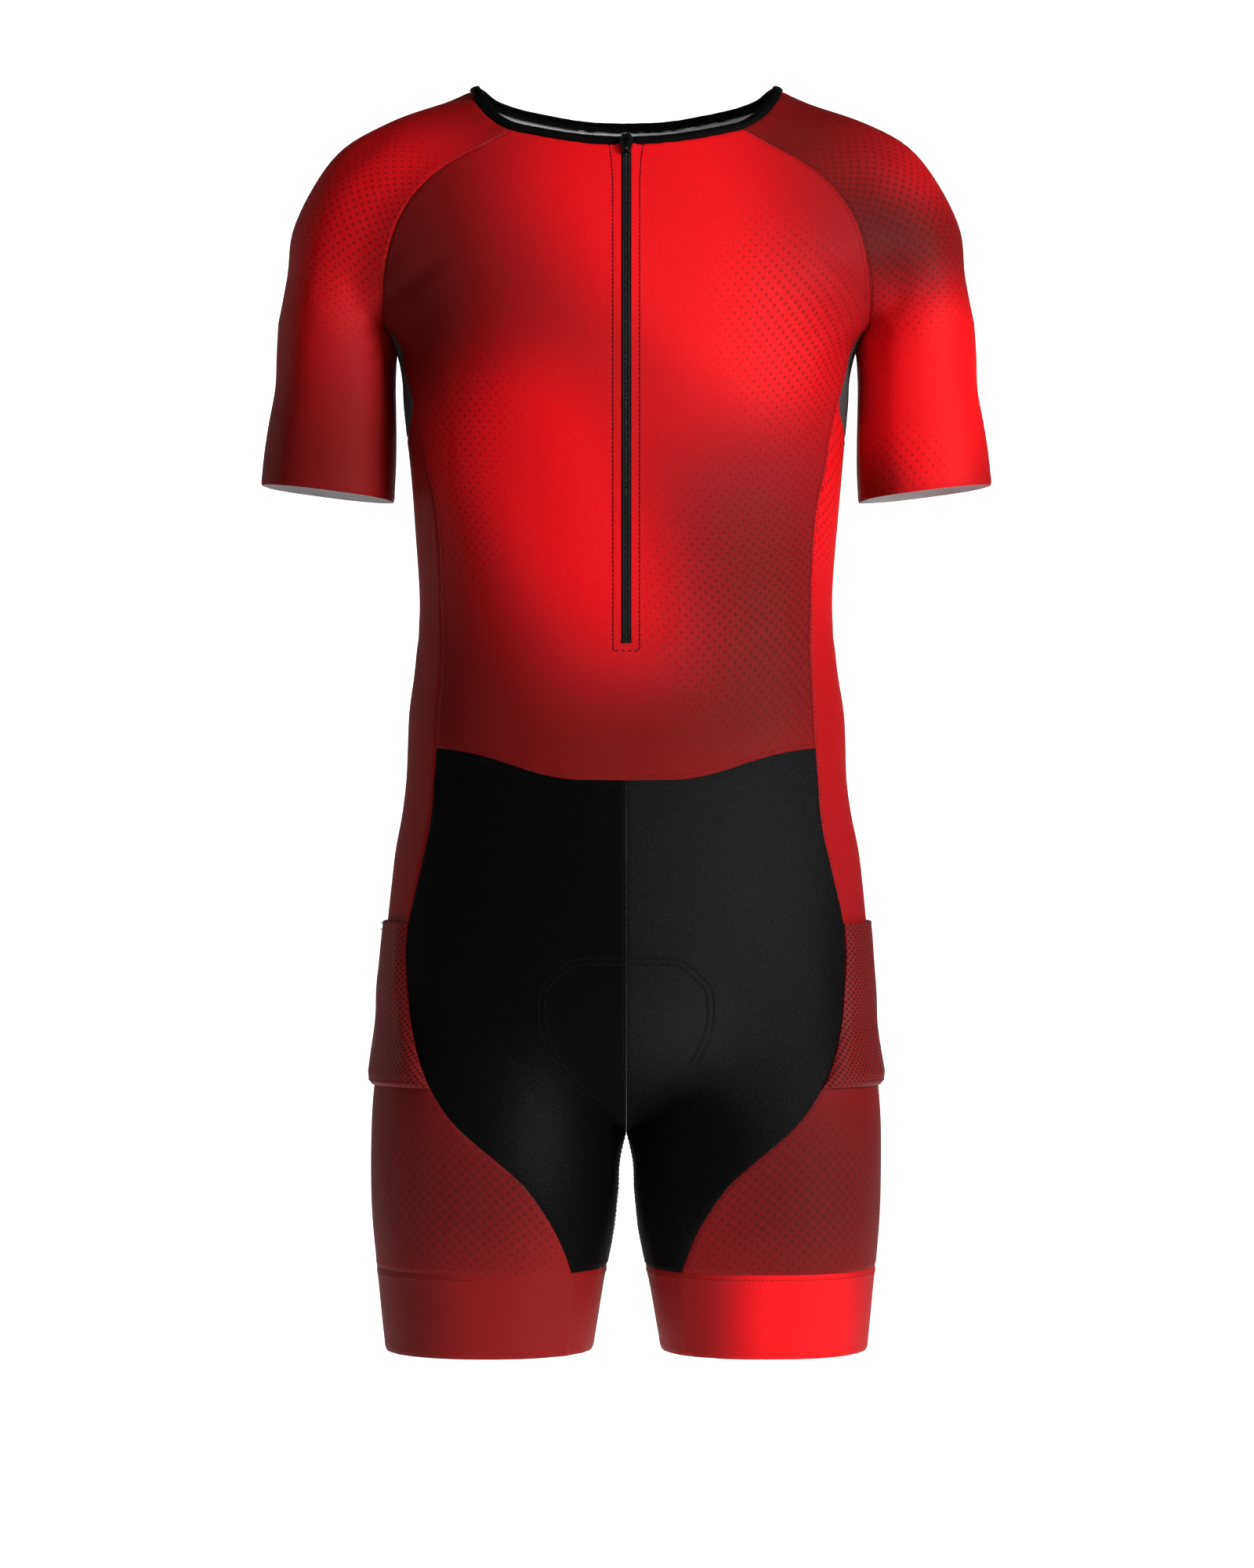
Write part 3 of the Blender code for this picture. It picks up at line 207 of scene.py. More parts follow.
ARM_ROWS = (
    (-0.040, 0.1850, 0.1300, 0.0400, 0.0450),
    (-0.064, 0.2120, 0.1350, 0.0500, 0.0550),
    (-0.098, 0.2370, 0.1450, 0.0590, 0.0620),
    (-0.132, 0.2455, 0.1620, 0.0620, 0.0640),
    (-0.167, 0.2520, 0.1700, 0.0620, 0.0640),
    (-0.180, 0.2532, 0.1695, 0.0615, 0.0635),
    (-0.192, 0.2540, 0.1685, 0.0610, 0.0630),
    (-0.218, 0.2554, 0.1675, 0.0590, 0.0610),
    (-0.252, 0.2616, 0.1670, 0.0560, 0.0580),
    (-0.286, 0.2650, 0.1676, 0.0540, 0.0560),
    (-0.310, 0.2680, 0.1700, 0.0540, 0.0560),
)
TRUNK_END = -0.749         # underside of the crotch
LEG_TOP = -0.655           # the legs fade into the trunk above this height
ARM_TOP = -0.055           # the arms fade into the shoulders above this height
ARM_END = -0.305           # and end below the cuff
ARM_MERGE = -0.150         # arm and trunk blend softly above this height
ARM_PART = -0.190          # and stand apart below this one
LEG_BLEND = (0.006, 0.016, 0.09)            # at the sides, more in the middle, fading over this
ARM_BLEND = (0.003, 0.013)                  # below the armpit, and more above it

# %% Distance to the figure
def smooth_table(rows, where):
    """Values of the rows at the given places, along a smooth curve that never overshoots."""
    table = np.array(sorted(rows), dtype=float)
    key, values = table[:, 0], table[:, 1:]
    step = np.diff(key)[:, None]
    slope = np.diff(values, axis=0) / step
    left, right = slope[:-1], slope[1:]
    same = left * right > 0
    middle = np.where(same, 2 * left * right / np.where(same, left + right, 1), 0)
    tangent = np.vstack([slope[:1], middle, slope[-1:]])
    where = np.clip(where, key[0], key[-1])
    i = np.clip(np.searchsorted(key, where) - 1, 0, len(key) - 2)
    width = (key[i + 1] - key[i])[..., None]
    t = ((where - key[i]) / (key[i + 1] - key[i]))[..., None]
    return (
        values[i] * (1 + 2 * t) * (1 - t) ** 2
        + values[i + 1] * t * t * (3 - 2 * t)
        + width * tangent[i] * t * (1 - t) ** 2
        - width * tangent[i + 1] * t * t * (1 - t)
    )


def section_distance(points, rows):
    """About how far each point lies outside the limb whose level sections the rows give."""
    outer, inner, front, back = np.moveaxis(smooth_table(rows, points[..., 2]), -1, 0)
    half = (outer - inner) / 2
    across = np.abs((np.abs(points[..., 0]) - (outer + inner) / 2) / half)
    deep = np.abs(points[..., 1]) / np.where(points[..., 1] < 0, front, back)
    ring = (across**FORM_ROUNDNESS + deep**FORM_ROUNDNESS) ** (1 / FORM_ROUNDNESS)
    return (ring - 1) * np.minimum(half, (front + back) / 2)


def blend(a, b, reach):
    """The nearer of two distances, rounded over where they are within reach of each other."""
    overlap = np.clip(1 - np.abs(a - b) / reach, 0, 1)
    return np.minimum(a, b) - overlap**2 * reach / 4


def body_form(points):
    """Signed distance to trunk and legs, rounded into each other."""
    height = points[..., 2]
    trunk = section_distance(points, TRUNK_ROWS) + np.clip(TRUNK_END - height, 0, None)
    leg = section_distance(points, LEG_ROWS) + 3 * np.clip(height - LEG_TOP, 0, None)
    least, more, fading = LEG_BLEND
    near_middle = np.clip(1 - np.abs(points[..., 0]) / fading, 0, 1)
    return blend(trunk, leg, least + more * near_middle)


def arm_form(points):
    """Signed distance to the arms, which end inside the shoulders and below the cuffs."""
    height = points[..., 2]
    beyond = np.clip(height - ARM_TOP, 0, None) + np.clip(ARM_END - height, 0, None)
    return section_distance(points, ARM_ROWS) + 2 * beyond


def form(points):
    """Signed distance to the figure: body and arms, rounded into each other at the shoulders."""
    merged = np.clip((points[..., 2] - ARM_PART) / (ARM_MERGE - ARM_PART), 0, 1)
    least, more = ARM_BLEND
    return blend(body_form(points), arm_form(points), least + more * merged)


print("distance at the navel", form(np.array([[0.0, -0.11, -0.45]])))

# %% [markdown]
# Points on the figure
#
# A seam is drawn as the photo shows it, flat, and then cast onto the figure from the eye. Points
# between seams are pushed along the slope of the distance until they lie on the surface.

# %% Cast and settle points
# the eye that the front elevation is drawn for: its distance and its height
EYE_DISTANCE = 3.5
EYE_HEIGHT = -0.503
# a line of sight starts this far before the middle plane and is followed over this length
SIGHT = (0.22, 0.34)
SIGHT_INSIDE = (0.16, 0.20)                 # the same for a line that comes back from behind
SLOPE_STEP = 0.0004        # between the two points that give a slope
SETTLE_TIMES = 12          # how often a point is moved towards the surface
SETTLE_STEP = 0.012        # and how far at most each time
HALVINGS = 24              # of the stretch in which a line of sight meets the form


def gradient(points, shape=form):
    """Slope of a shape at each point, by central differences."""
    axes = np.eye(3) * SLOPE_STEP
    return np.stack([(shape(points + a) - shape(points - a)) / (2 * SLOPE_STEP) for a in axes], -1)


def unit(vectors):
    """The same directions, each one long."""
    return vectors / np.maximum(np.linalg.norm(vectors, axis=-1, keepdims=True), 1e-12)


def onto_form(points, shape=form):
    """Move points along the slope until they lie on the shape."""
    points = np.array(points, dtype=float)
    for _ in range(SETTLE_TIMES):
        slope = gradient(points, shape)
        size = np.maximum((slope**2).sum(-1, keepdims=True), 0.15)
        move = shape(points)[..., None] * slope / size
        far = np.maximum(np.linalg.norm(move, axis=-1, keepdims=True) / SETTLE_STEP, 1)
        points = points - move / far
    return points


def onto_level(points, shape=body_form):
    """Put points back on the shape without changing their heights."""
    for _ in range(SETTLE_TIMES):
        slope = gradient(points, shape) * np.array([1.0, 1.0, 0.0])
        points = points - shape(points)[..., None] * slope / (slope**2).sum(-1, keepdims=True)
    return points


def cast(start, toward, reach, samples=160):
    """Where lines that start outside first meet the form."""
    toward = unit(toward)
    places = np.linspace(0, reach, samples)
    inside = np.stack([form(start + toward * t) < 0 for t in places])
    first = np.argmax(inside, axis=0)
    first = np.where(inside.any(axis=0), first, samples // 2)
    near = places[np.maximum(first - 1, 0)]
    far = places[first]
    for _ in range(HALVINGS):
        middle = (near + far) / 2
        hit = form(start + toward * middle[..., None]) < 0
        far = np.where(hit, middle, far)
        near = np.where(hit, near, middle)
    return start + toward * far[..., None]


def seen(drawn, back=False):
    """Points of the form under points of the elevation, from the eye in front or behind."""
    drawn = np.asarray(drawn, dtype=float)
    facing = 1.0 if back else -1.0
    target = np.stack([drawn[..., 0], np.zeros_like(drawn[..., 0]), drawn[..., 1]], -1)
    eye = np.array([0.0, facing * EYE_DISTANCE, EYE_HEIGHT])
    ray = unit(target - eye)
    return cast(target - ray * SIGHT[0], ray, SIGHT[1])


def behind(drawn):
    """Points at the back of the form that the eye in front sees through the neck."""
    drawn = np.asarray(drawn, dtype=float)
    target = np.stack([drawn[..., 0], np.zeros_like(drawn[..., 0]), drawn[..., 1]], -1)
    ray = unit(target - np.array([0.0, -EYE_DISTANCE, EYE_HEIGHT]))
    return cast(target + ray * SIGHT_INSIDE[0], -ray, SIGHT_INSIDE[1])


print("zip top on the form", seen([(0.0, -0.0392)]).round(4))

# %% [markdown]
# Seams
#
# The suit is cut in raglan style: the sleeve runs up to the neck. Each seam is a short table of
# points on the front elevation, and both pieces that meet there use the same line.

# %% Seam tables
RAGLAN_FRONT = (
    (0.0838, -0.0268), (0.1055, -0.0382), (0.1362, -0.0559), (0.1510, -0.0695),
    (0.1619, -0.0832), (0.1710, -0.1049), (0.1756, -0.1248), (0.1773, -0.1465),
    (0.1767, -0.1704),
)
RAGLAN_BACK = (
    (0.0240, -0.0100), (0.0580, -0.0230), (0.1000, -0.0470), (0.1320, -0.0740),
    (0.1560, -0.1030), (0.1700, -0.1350), (0.1767, -0.1704),
)
GUSSET_EDGE = ((0.1767, -0.1704), (0.1645, -0.1865), (0.1600, -0.2050), (0.1545, -0.2250))
SIDE_SEAM = (
    (0.1545, -0.2250), (0.1500, -0.2440), (0.1448, -0.2747), (0.1402, -0.2930),
    (0.1362, -0.3317), (0.1345, -0.3800), (0.1345, -0.4115), (0.1366, -0.4450),
    (0.1379, -0.4770),
)
SHORTS_SEAM = (
    (0.1379, -0.4770), (0.1419, -0.5250), (0.1459, -0.5483), (0.1522, -0.5746),
    (0.1585, -0.6036), (0.1602, -0.6224), (0.1596, -0.6435), (0.1573, -0.6680),
    (0.1550, -0.6880), (0.1499, -0.7079), (0.1436, -0.7228), (0.1340, -0.7399),
    (0.1191, -0.7570), (0.0969, -0.7758), (0.0787, -0.7912), (0.0650, -0.8077),
    (0.0524, -0.8282), (0.0439, -0.8465), (0.0400, -0.8575),
)
NECK_FRONT = (
    (0.0000, -0.0378), (0.0250, -0.0366), (0.0456, -0.0342), (0.0640, -0.0310),
    (0.0838, -0.0268), (0.0998, -0.0177), (0.1120, -0.0030),
)
NECK_BACK = ((0.0000, -0.0285), (0.0240, -0.0278), (0.0600, -0.0222), (0.0900, -0.0145),
             (0.1120, -0.0030))
NECK_FROM_BEHIND = ((0.0000, -0.0105), (0.0240, -0.0100), (0.1120, 0.0))
WAIST_FRONT = ((0.0000, -0.5003), (0.0380, -0.4998), (0.0590, -0.4965), (0.0810, -0.4900),
               (0.0997, -0.4840), (0.1170, -0.4797), (0.1379, -0.4770))
WAIST_BACK = ((0.0000, -0.4560), (0.0500, -0.4590), (0.1000, -0.4690), (0.1379, -0.4770))
GUSSET_TIP_HEIGHT = -0.2530
POCKET_TOP = -0.6050       # height of the pocket mouth on the shorts seam
POCKET_FOOT = -0.7250
BAND_TOP = -0.8520         # true height of the seam above the grip band
HEM_HEIGHT = -0.9125
CUFF_OUTER = (0.2650, -0.2860)   # side distance and height of the cuff's outer corner
CUFF_SLOPE = 0.129         # rise of the cuff towards its outer side
ARMPIT_SIDE = 0.1680       # side distance of the fold under the arm
GAP_SIDE = (0.1648, -0.2350)     # side distance and height of a spot between arm and trunk
CROTCH_DEPTH = 0.008       # how far behind the middle the crotch point and inseams lie
CENTRE_HUB = (0.0, 0.0, -0.600)  # the centre seam is drawn round this point
SHOULDER_HUB = (0.113, 0.004, -0.170)    # and the crest of the shoulder round this one
NECK_POINT = (0.1130, 0.004)     # side distance and depth of the top of the neck edge
LIMB_TURN = (-0.520, 0.220, 0.095)       # the rows' axis leaves the middle here, over this
                                         # height, and ends this far out in the leg
ZIP_HALF_GAP = 0.0043      # half the slot in the front panel
ZIP_END = -0.4010          # seen height of the slot's lower end
RAGLAN_CELLS = 7
GUSSET_CELLS = 3
SIDE_CELLS = 10
SHORTS_CELLS = (5, 5, 7)   # waist to pocket, pocket, pocket to grip band
CENTRE_CELLS = 12          # centre seam, waist to crotch
HALF_FRONT_CELLS = 8
BACK_CELLS = 12
SLEEVE_CELLS = 14          # over the shoulder
SIDE_PANEL_CELLS = 12
SLEEVE_LENGTH_CELLS = 5    # armhole to cuff
BAND_CELLS = 2

# %% Lines with evenly spaced points
def spline(a, b, c, d, t):
    """Where a smooth curve through four points is, a share t of the way from b to c."""
    return 0.5 * (2 * b + (c - a) * t + (2 * a - 5 * b + 4 * c - d) * t**2
                  + (3 * b - a - 3 * c + d) * t**3)


def run_of(line):
    """Length along a line up to each of its points."""
    return np.concatenate([[0], np.cumsum(np.linalg.norm(np.diff(line, axis=0), axis=1))])


def at_lengths(values, run, where):
    """The values that go with a line's points, at other lengths along it."""
    return np.stack([np.interp(where, run, column) for column in values.T], -1)


def smooth_curve(points, cells, fine=40):
    """Evenly spaced points on a smooth curve through the drawn points."""
    points = np.asarray(points, dtype=float)
    ends = np.vstack([2 * points[0] - points[1], points, 2 * points[-1] - points[-2]])
    line = []
    for a, b, c, d in zip(ends, ends[1:], ends[2:], ends[3:]):
        t = np.linspace(0, 1, fine, endpoint=False)[:, None]
        line.append(spline(a, b, c, d, t))
    line.append(points[-1:])
    return spaced(np.vstack(line), cells)


def spaced(line, cells):
    """The same line with evenly spaced points."""
    run = run_of(line)
    return at_lengths(line, run, np.linspace(0, run[-1], cells + 1))


def part_of_curve(table, low, high, cells):
    """The stretch of a drawn seam between two heights."""
    line = smooth_curve(table, 600)
    keep = line[(line[:, 1] < low + 1e-9) & (line[:, 1] > high - 1e-9)]
    ends = [line[np.argmin(np.abs(line[:, 1] - h))] for h in (low, high)]
    return spaced(np.vstack([ends[0], keep[1:-1], ends[1]]), cells)


def over_form(a, b, cells):
    """An evenly spaced path over the form between two of its points."""
    t = np.linspace(0, 1, cells + 1)[:, None]
    line = a + (b - a) * t
    for _ in range(3):
        line[1:-1] = onto_form(line[1:-1])
        line = spaced(line, cells)
    line[1:-1] = onto_form(line[1:-1])
    return line


def limb_centre(height):
    """Side distance of the axis that the shorts' rows turn about, from trunk to leg."""
    top, span, side = LIMB_TURN
    t = np.clip((top - height) / span, 0, 1)
    return side * t * t * (3 - 2 * t)


def around(a, b, cells, sign, bend=0.0):
    """A row around the trunk or leg from a to b, turning through the front or outer side.

    sign is -1 to pass the front of the leg, +1 its back and 0 its outer side. bend lowers
    the middle of the row.
    """
    angle = []
    radius = []
    for point in (a, b):
        rel = point[:2] - np.array([limb_centre(point[2]), 0.0])
        turn = math.atan2(rel[1], rel[0])
        if sign * turn < -0.5 * math.pi:
            turn += sign * TURN
        angle.append(turn)
        radius.append(np.hypot(*rel))
    t = np.linspace(0, 1, cells + 1)
    for _ in range(3):
        turn = angle[0] + (angle[1] - angle[0]) * t
        size = radius[0] + (radius[1] - radius[0]) * t
        height = a[2] + (b[2] - a[2]) * t - bend * (4 * t * (1 - t)) ** 0.7
        row = np.stack([limb_centre(height) + size * np.cos(turn), size * np.sin(turn), height], -1)
        row[1:-1] = onto_form(row[1:-1], body_form)
        row[0], row[-1] = a, b
        run = run_of(row)
        t = np.interp(np.linspace(0, run[-1], cells + 1), run, t)
    return row


def mirrored(points):
    """The same points on the other side of the suit."""
    return points * np.array([-1.0, 1.0, 1.0])


def neck_height(table, side):
    """Drawn height of the neck edge, or of another edge given from the middle outwards."""
    return smooth_table(table, np.abs(side))[..., 0]


# %% Every seam of the left side
def shared_seams():
    """Every seam of the left side as points on the form. Two pieces that meet share them."""
    seams = {}
    top, low, foot = SHORTS_CELLS
    for face, raglan in (("front", RAGLAN_FRONT), ("back", RAGLAN_BACK)):
        back = face == "back"
        drawn = {
            "raglan": smooth_curve(raglan, RAGLAN_CELLS),
            "gusset": smooth_curve(GUSSET_EDGE, GUSSET_CELLS),
            "side": smooth_curve(SIDE_SEAM, SIDE_CELLS),
            "shorts": np.vstack([
                part_of_curve(SHORTS_SEAM, SHORTS_SEAM[0][1], POCKET_TOP, top),
                part_of_curve(SHORTS_SEAM, POCKET_TOP, POCKET_FOOT, low)[1:],
                part_of_curve(SHORTS_SEAM, POCKET_FOOT, SHORTS_SEAM[-1][1], foot)[1:],
            ]),
        }
        for name, line in drawn.items():
            seams[name + "_" + face + "_drawn"] = line
            seams[name + "_" + face] = seen(line, back)
        seams["shorts_" + face][-1, 2] = BAND_TOP
        seams["shorts_" + face][-1:] = onto_level(seams["shorts_" + face][-1:])
    seams["centre"] = centre_seam()
    seams["inseam"] = inseam(seams["centre"][CENTRE_CELLS], sum(SHORTS_CELLS) - CENTRE_CELLS)
    seams["armpit"] = armpit_fold(seams["gusset_front"][0], seams["gusset_back"][0])
    seams["neck_sleeve"] = neck_over_sleeve(seams["raglan_front"][0], seams["raglan_back"][0])
    return seams


def centre_seam():
    """Centre front, under the crotch and up the centre back, on the plane between the legs."""
    hub = np.array(CENTRE_HUB)
    start = seen([(0.0, WAIST_FRONT[0][1])])[0] - hub
    crotch = np.array([0.0, CROTCH_DEPTH, TRUNK_END]) - hub
    finish = seen([(0.0, WAIST_BACK[0][1])], back=True)[0] - hub
    halves = []
    for a, b, sign in ((start, crotch, -1), (finish, crotch, 1)):
        turns = [math.atan2(v[2], sign * v[1]) for v in (a, b)]
        turn = np.linspace(turns[0], turns[1], 200)
        ray = np.stack([np.zeros_like(turn), sign * np.cos(turn), np.sin(turn)], -1)
        line = cast(hub + ray * 0.26, -ray, 0.26)
        halves.append(spaced(line, CENTRE_CELLS))
    return np.vstack([halves[0], halves[1][::-1][1:]])


def inseam(crotch, cells):
    """Down the inner side of the leg from the crotch point to the grip band."""
    height = np.linspace(crotch[2], BAND_TOP, cells + 1)[1:]
    start = np.stack([np.full(cells, 0.0), np.full(cells, CROTCH_DEPTH), height], -1)
    line = cast(start, np.tile([1.0, 0.0, 0.0], (cells, 1)), 0.06)
    return np.vstack([crotch, line])


def armpit_fold(front, back):
    """The fold under the arm, where the sleeve turns into the gusset."""
    t = np.linspace(0, 1, SIDE_PANEL_CELLS + 1)
    deep = front[1] + (back[1] - front[1]) * t
    share = np.abs(2 * t - 1) ** 2
    side = ARMPIT_SIDE + (0.5 * (front[0] + back[0]) - ARMPIT_SIDE) * share
    start = np.stack([np.full_like(t, GAP_SIDE[0]), deep, np.full_like(t, GAP_SIDE[1])], -1)
    above = np.stack([side, deep, np.full_like(t, front[2] + 0.010)], -1)
    fold = cast(start, above - start, 0.09)
    fold[0], fold[-1] = front, back
    return fold


def neck_over_sleeve(front, back):
    """The neck edge of the sleeve, over the neck point."""
    half = SLEEVE_CELLS // 2
    above = np.array([[*NECK_POINT, 0.05]])
    neck_point = cast(above, np.array([[0.0, 0.0, -1.0]]), 0.09)
    halves = []
    for end, table, view in ((front, NECK_FRONT, seen), (back, NECK_BACK, behind)):
        side = np.linspace(end[0], NECK_POINT[0], 60)[:-6]
        drawn = np.stack([side, neck_height(table, side)], -1)
        halves.append(spaced(np.vstack([end, view(drawn)[1:], neck_point]), half))
    return np.vstack([halves[0], halves[1][::-1][1:]])


seams = shared_seams()
print({name: line.shape for name, line in seams.items() if not name.endswith("drawn")})

# %% [markdown]
# Panels
#
# A panel is a net of points between its seams, as wide and long as the real piece of cloth. The
# first nets are coarse, like the solids. They are made finer below.

# %% Front, back, side and shorts
def side_edge(seams, ending):
    """The side edge of the front or back, top to waist, on the form or as it is drawn."""
    lines = [seams[name + ending] for name in ("raglan", "gusset", "side")]
    return np.vstack([lines[0], lines[1][1:], lines[2][1:]])


def across_shares(half_cells, slot):
    """Shares of the half width for the columns, from the left edge to the right one."""
    one_side = np.linspace(0, 1, half_cells + 1)
    if slot:
        return np.concatenate([-one_side[::-1], one_side])
    return np.concatenate([-one_side[::-1], one_side[1:]])


def drawn_body(seams, face, half_cells, slot, top_table, low_table):
    """Side distance and height of each column of the front or back panel, row by row."""
    edge = side_edge(seams, "_" + face + "_drawn")
    shares = across_shares(half_cells, slot > 0)
    sign = np.where(np.arange(len(shares)) * 2 < len(shares), -1.0, 1.0)
    side = sign * slot + shares * (edge[:, :1] - slot)
    run = (edge[:, 1] - edge[0, 1]) / (edge[-1, 1] - edge[0, 1])
    run = run[:, None]
    height = (
        edge[:, 1:]
        + (1 - run) ** 2 * (neck_height(top_table, side[0]) - edge[0, 1])
        + run**2 * (neck_height(low_table, side[-1]) - edge[-1, 1])
    )
    return side, height, np.abs(shares)


def front_grid(seams):
    """Points of the front panel and the row where the zip's slot ends."""
    side, height, share = drawn_body(
        seams, "front", HALF_FRONT_CELLS, ZIP_HALF_GAP, NECK_FRONT, WAIST_FRONT
    )
    middle = HALF_FRONT_CELLS
    slot_row = int(np.argmin(np.abs(height[:, middle] - ZIP_END)))
    shift = ZIP_END - height[slot_row, middle]
    near = np.clip(1 - np.abs(np.arange(len(height)) - slot_row) / 4, 0, 1)[:, None]
    height = height + shift * near * (1 - share) ** 2
    grid = seen(np.stack([side, height], -1))
    edge = side_edge(seams, "_front")
    grid[:, -1] = edge
    grid[:, 0] = mirrored(edge)
    return grid, slot_row


def back_grid(seams):
    """Points of the back panel."""
    side, height, _ = drawn_body(seams, "back", BACK_CELLS // 2, 0.0, NECK_FROM_BEHIND, WAIST_BACK)
    grid = seen(np.stack([side, height], -1), back=True)
    edge = side_edge(seams, "_back")
    grid[:, -1] = edge
    grid[:, 0] = mirrored(edge)
    return grid


def gusset_grid(seams):
    """Under the arm: the fold above, the side panel's top edge below."""
    rows = [seams["armpit"]]
    fold = rows[0][:, 2].min()
    for r in range(1, GUSSET_CELLS + 1):
        a, b = seams["gusset_front"][r], seams["gusset_back"][r]
        low = fold + (GUSSET_TIP_HEIGHT - fold) * r / GUSSET_CELLS
        rows.append(around(a, b, SIDE_PANEL_CELLS, 0, a[2] - low))
    return np.stack(rows)


def side_grid(seams, gusset):
    """From under the arm to the grip band, between the front and back seams."""
    front = np.vstack([seams["side_front"], seams["shorts_front"][1:]])
    back = np.vstack([seams["side_back"], seams["shorts_back"][1:]])
    rows = [gusset[-1]]
    top_dip = front[0, 2] - GUSSET_TIP_HEIGHT
    for r in range(1, len(front)):
        dip = top_dip * max(0.0, 1 - r / 6) ** 1.5
        rows.append(around(front[r], back[r], SIDE_PANEL_CELLS, 0, dip))
    rows[-1][:, 2] = BAND_TOP
    rows[-1] = onto_level(rows[-1])
    rows[-1][0], rows[-1][-1] = front[-1], back[-1]
    return np.stack(rows)


def shorts_grid(seams, face, waist):
    """Half of the black front or seat, from its outer seam to the centre seam and inseam."""
    outer = seams["shorts_" + face]
    centre = seams["centre"] if face == "front" else seams["centre"][::-1]
    inner = np.vstack([centre[: CENTRE_CELLS + 1], seams["inseam"][1:]])
    sign = -1 if face == "front" else 1
    cells = len(waist) - 1
    rows = [waist]
    drop = waist[:, 2] - np.linspace(waist[0, 2], waist[-1, 2], cells + 1)
    for r in range(1, len(outer)):
        row = around(outer[r], inner[r], cells, sign)
        row[1:-1, 2] += drop[1:-1] * max(0.0, 1 - r / 6)
        row[1:-1] = onto_form(row[1:-1], body_form)
        rows.append(row)
    rows[-1][:, 2] = BAND_TOP
    rows[-1][1:-1] = onto_level(rows[-1][1:-1])
    return np.stack(rows)


front, slot_row = front_grid(seams)
back = back_grid(seams)
gusset = gusset_grid(seams)
side = side_grid(seams, gusset)
half_waist = np.vstack([front[-1, HALF_FRONT_CELLS + 1 :][::-1], seams["centre"][0]])
shorts_front = shorts_grid(seams, "front", half_waist)
half_back = back[-1, BACK_CELLS // 2 :][::-1].copy()
half_back[-1] = seams["centre"][-1]
seat = shorts_grid(seams, "back", half_back)
print("front", front.shape, "back", back.shape, "side", side.shape, "seat", seat.shape)

# %% The sleeve: a cap over the shoulder and a tube to the cuff
def sleeve_nets():
    """The cap as a net from front seam to back seam, and the tube as a closed net."""
    half = SLEEVE_CELLS // 2
    hub = np.array(SHOULDER_HUB)
    turn = np.linspace(math.pi / 2, 0, 120)
    ray = np.stack([np.cos(turn), np.zeros_like(turn), np.sin(turn)], -1)
    crest = spaced(cast(hub + ray * 0.24, -ray, 0.24), RAGLAN_CELLS)
    rows = [seams["neck_sleeve"]]
    for r in range(1, RAGLAN_CELLS + 1):
        front_half = over_form(seams["raglan_front"][r], crest[r], half)
        back_half = over_form(crest[r], seams["raglan_back"][r], half)
        rows.append(np.vstack([front_half, back_half[1:]]))
    ring = np.vstack([rows[-1], seams["armpit"][::-1][1:-1]])
    outer, inner = smooth_table(ARM_ROWS, ring[:, 2])[:, :2].T
    turn = np.unwrap(np.arctan2(ring[:, 1], ring[:, 0] - (outer + inner) / 2))
    spread = turn[0] + np.linspace(0, TURN, len(ring), endpoint=False)
    tube = [ring]
    for q in range(1, SLEEVE_LENGTH_CELLS + 1):
        t = q / SLEEVE_LENGTH_CELLS
        angle = turn * (1 - 0.3 * t) + 0.3 * t * spread
        height = ring[:, 2] * (1 - t) + t * CUFF_OUTER[1]
        for _ in range(3):
            outer, inner, front_side, back_side = smooth_table(ARM_ROWS, height).T
            x = (outer + inner) / 2 + (outer - inner) / 2 * np.cos(angle)
            y = np.where(np.sin(angle) < 0, front_side, back_side) * np.sin(angle)
            height = ring[:, 2] * (1 - t) + t * (CUFF_OUTER[1] - CUFF_SLOPE * (CUFF_OUTER[0] - x))
        tube.append(onto_level(np.stack([x, y, height], -1), arm_form))
    tube = np.stack(tube)
    return np.stack(rows), np.concatenate([tube, tube[:, :1]], axis=1)


cap, tube = sleeve_nets()
print("sleeve cap", cap.shape, "tube", tube.shape)

# %% The leg's grip band: level rows from its seam to the hem
def band_net():
    """Level rows round the leg, all with the points of the seam above."""
    ring = np.vstack([side[-1], seat[-1][1:], shorts_front[-1][::-1][1:]])
    rows = [ring]
    for r in range(1, BAND_CELLS + 1):
        row = ring.copy()
        row[:, 2] = BAND_TOP + (HEM_HEIGHT - BAND_TOP) * r / BAND_CELLS
        rows.append(onto_level(row))
    return np.stack(rows)


band = band_net()
print("grip band", band.shape)

# %% [markdown]
# From net to cloth
#
# A coarse net is turned into fine cloth by smooth curves through its rows and columns, with extra
# lines close to every edge so that a seam can roll. Edges that two panels share are curved from
# the shared points alone, so the panels still meet.

# %% Smooth curves through a net
FINE = 5                                   # fine cells in each coarse one
EDGE_SHARES = (0.06, 0.13)                 # extra lines in the first cell from an edge


def fine_places(cells, low_edge=True, high_edge=True, fine=None):
    """Fractional row or column numbers of the fine net."""
    fine = fine or FINE
    inner = np.linspace(0, cells, cells * fine + 1)
    extra = list(EDGE_SHARES) if low_edge else []
    extra += [cells - share for share in EDGE_SHARES] if high_edge else []
    return np.unique(np.concatenate([inner, extra]).round(6))


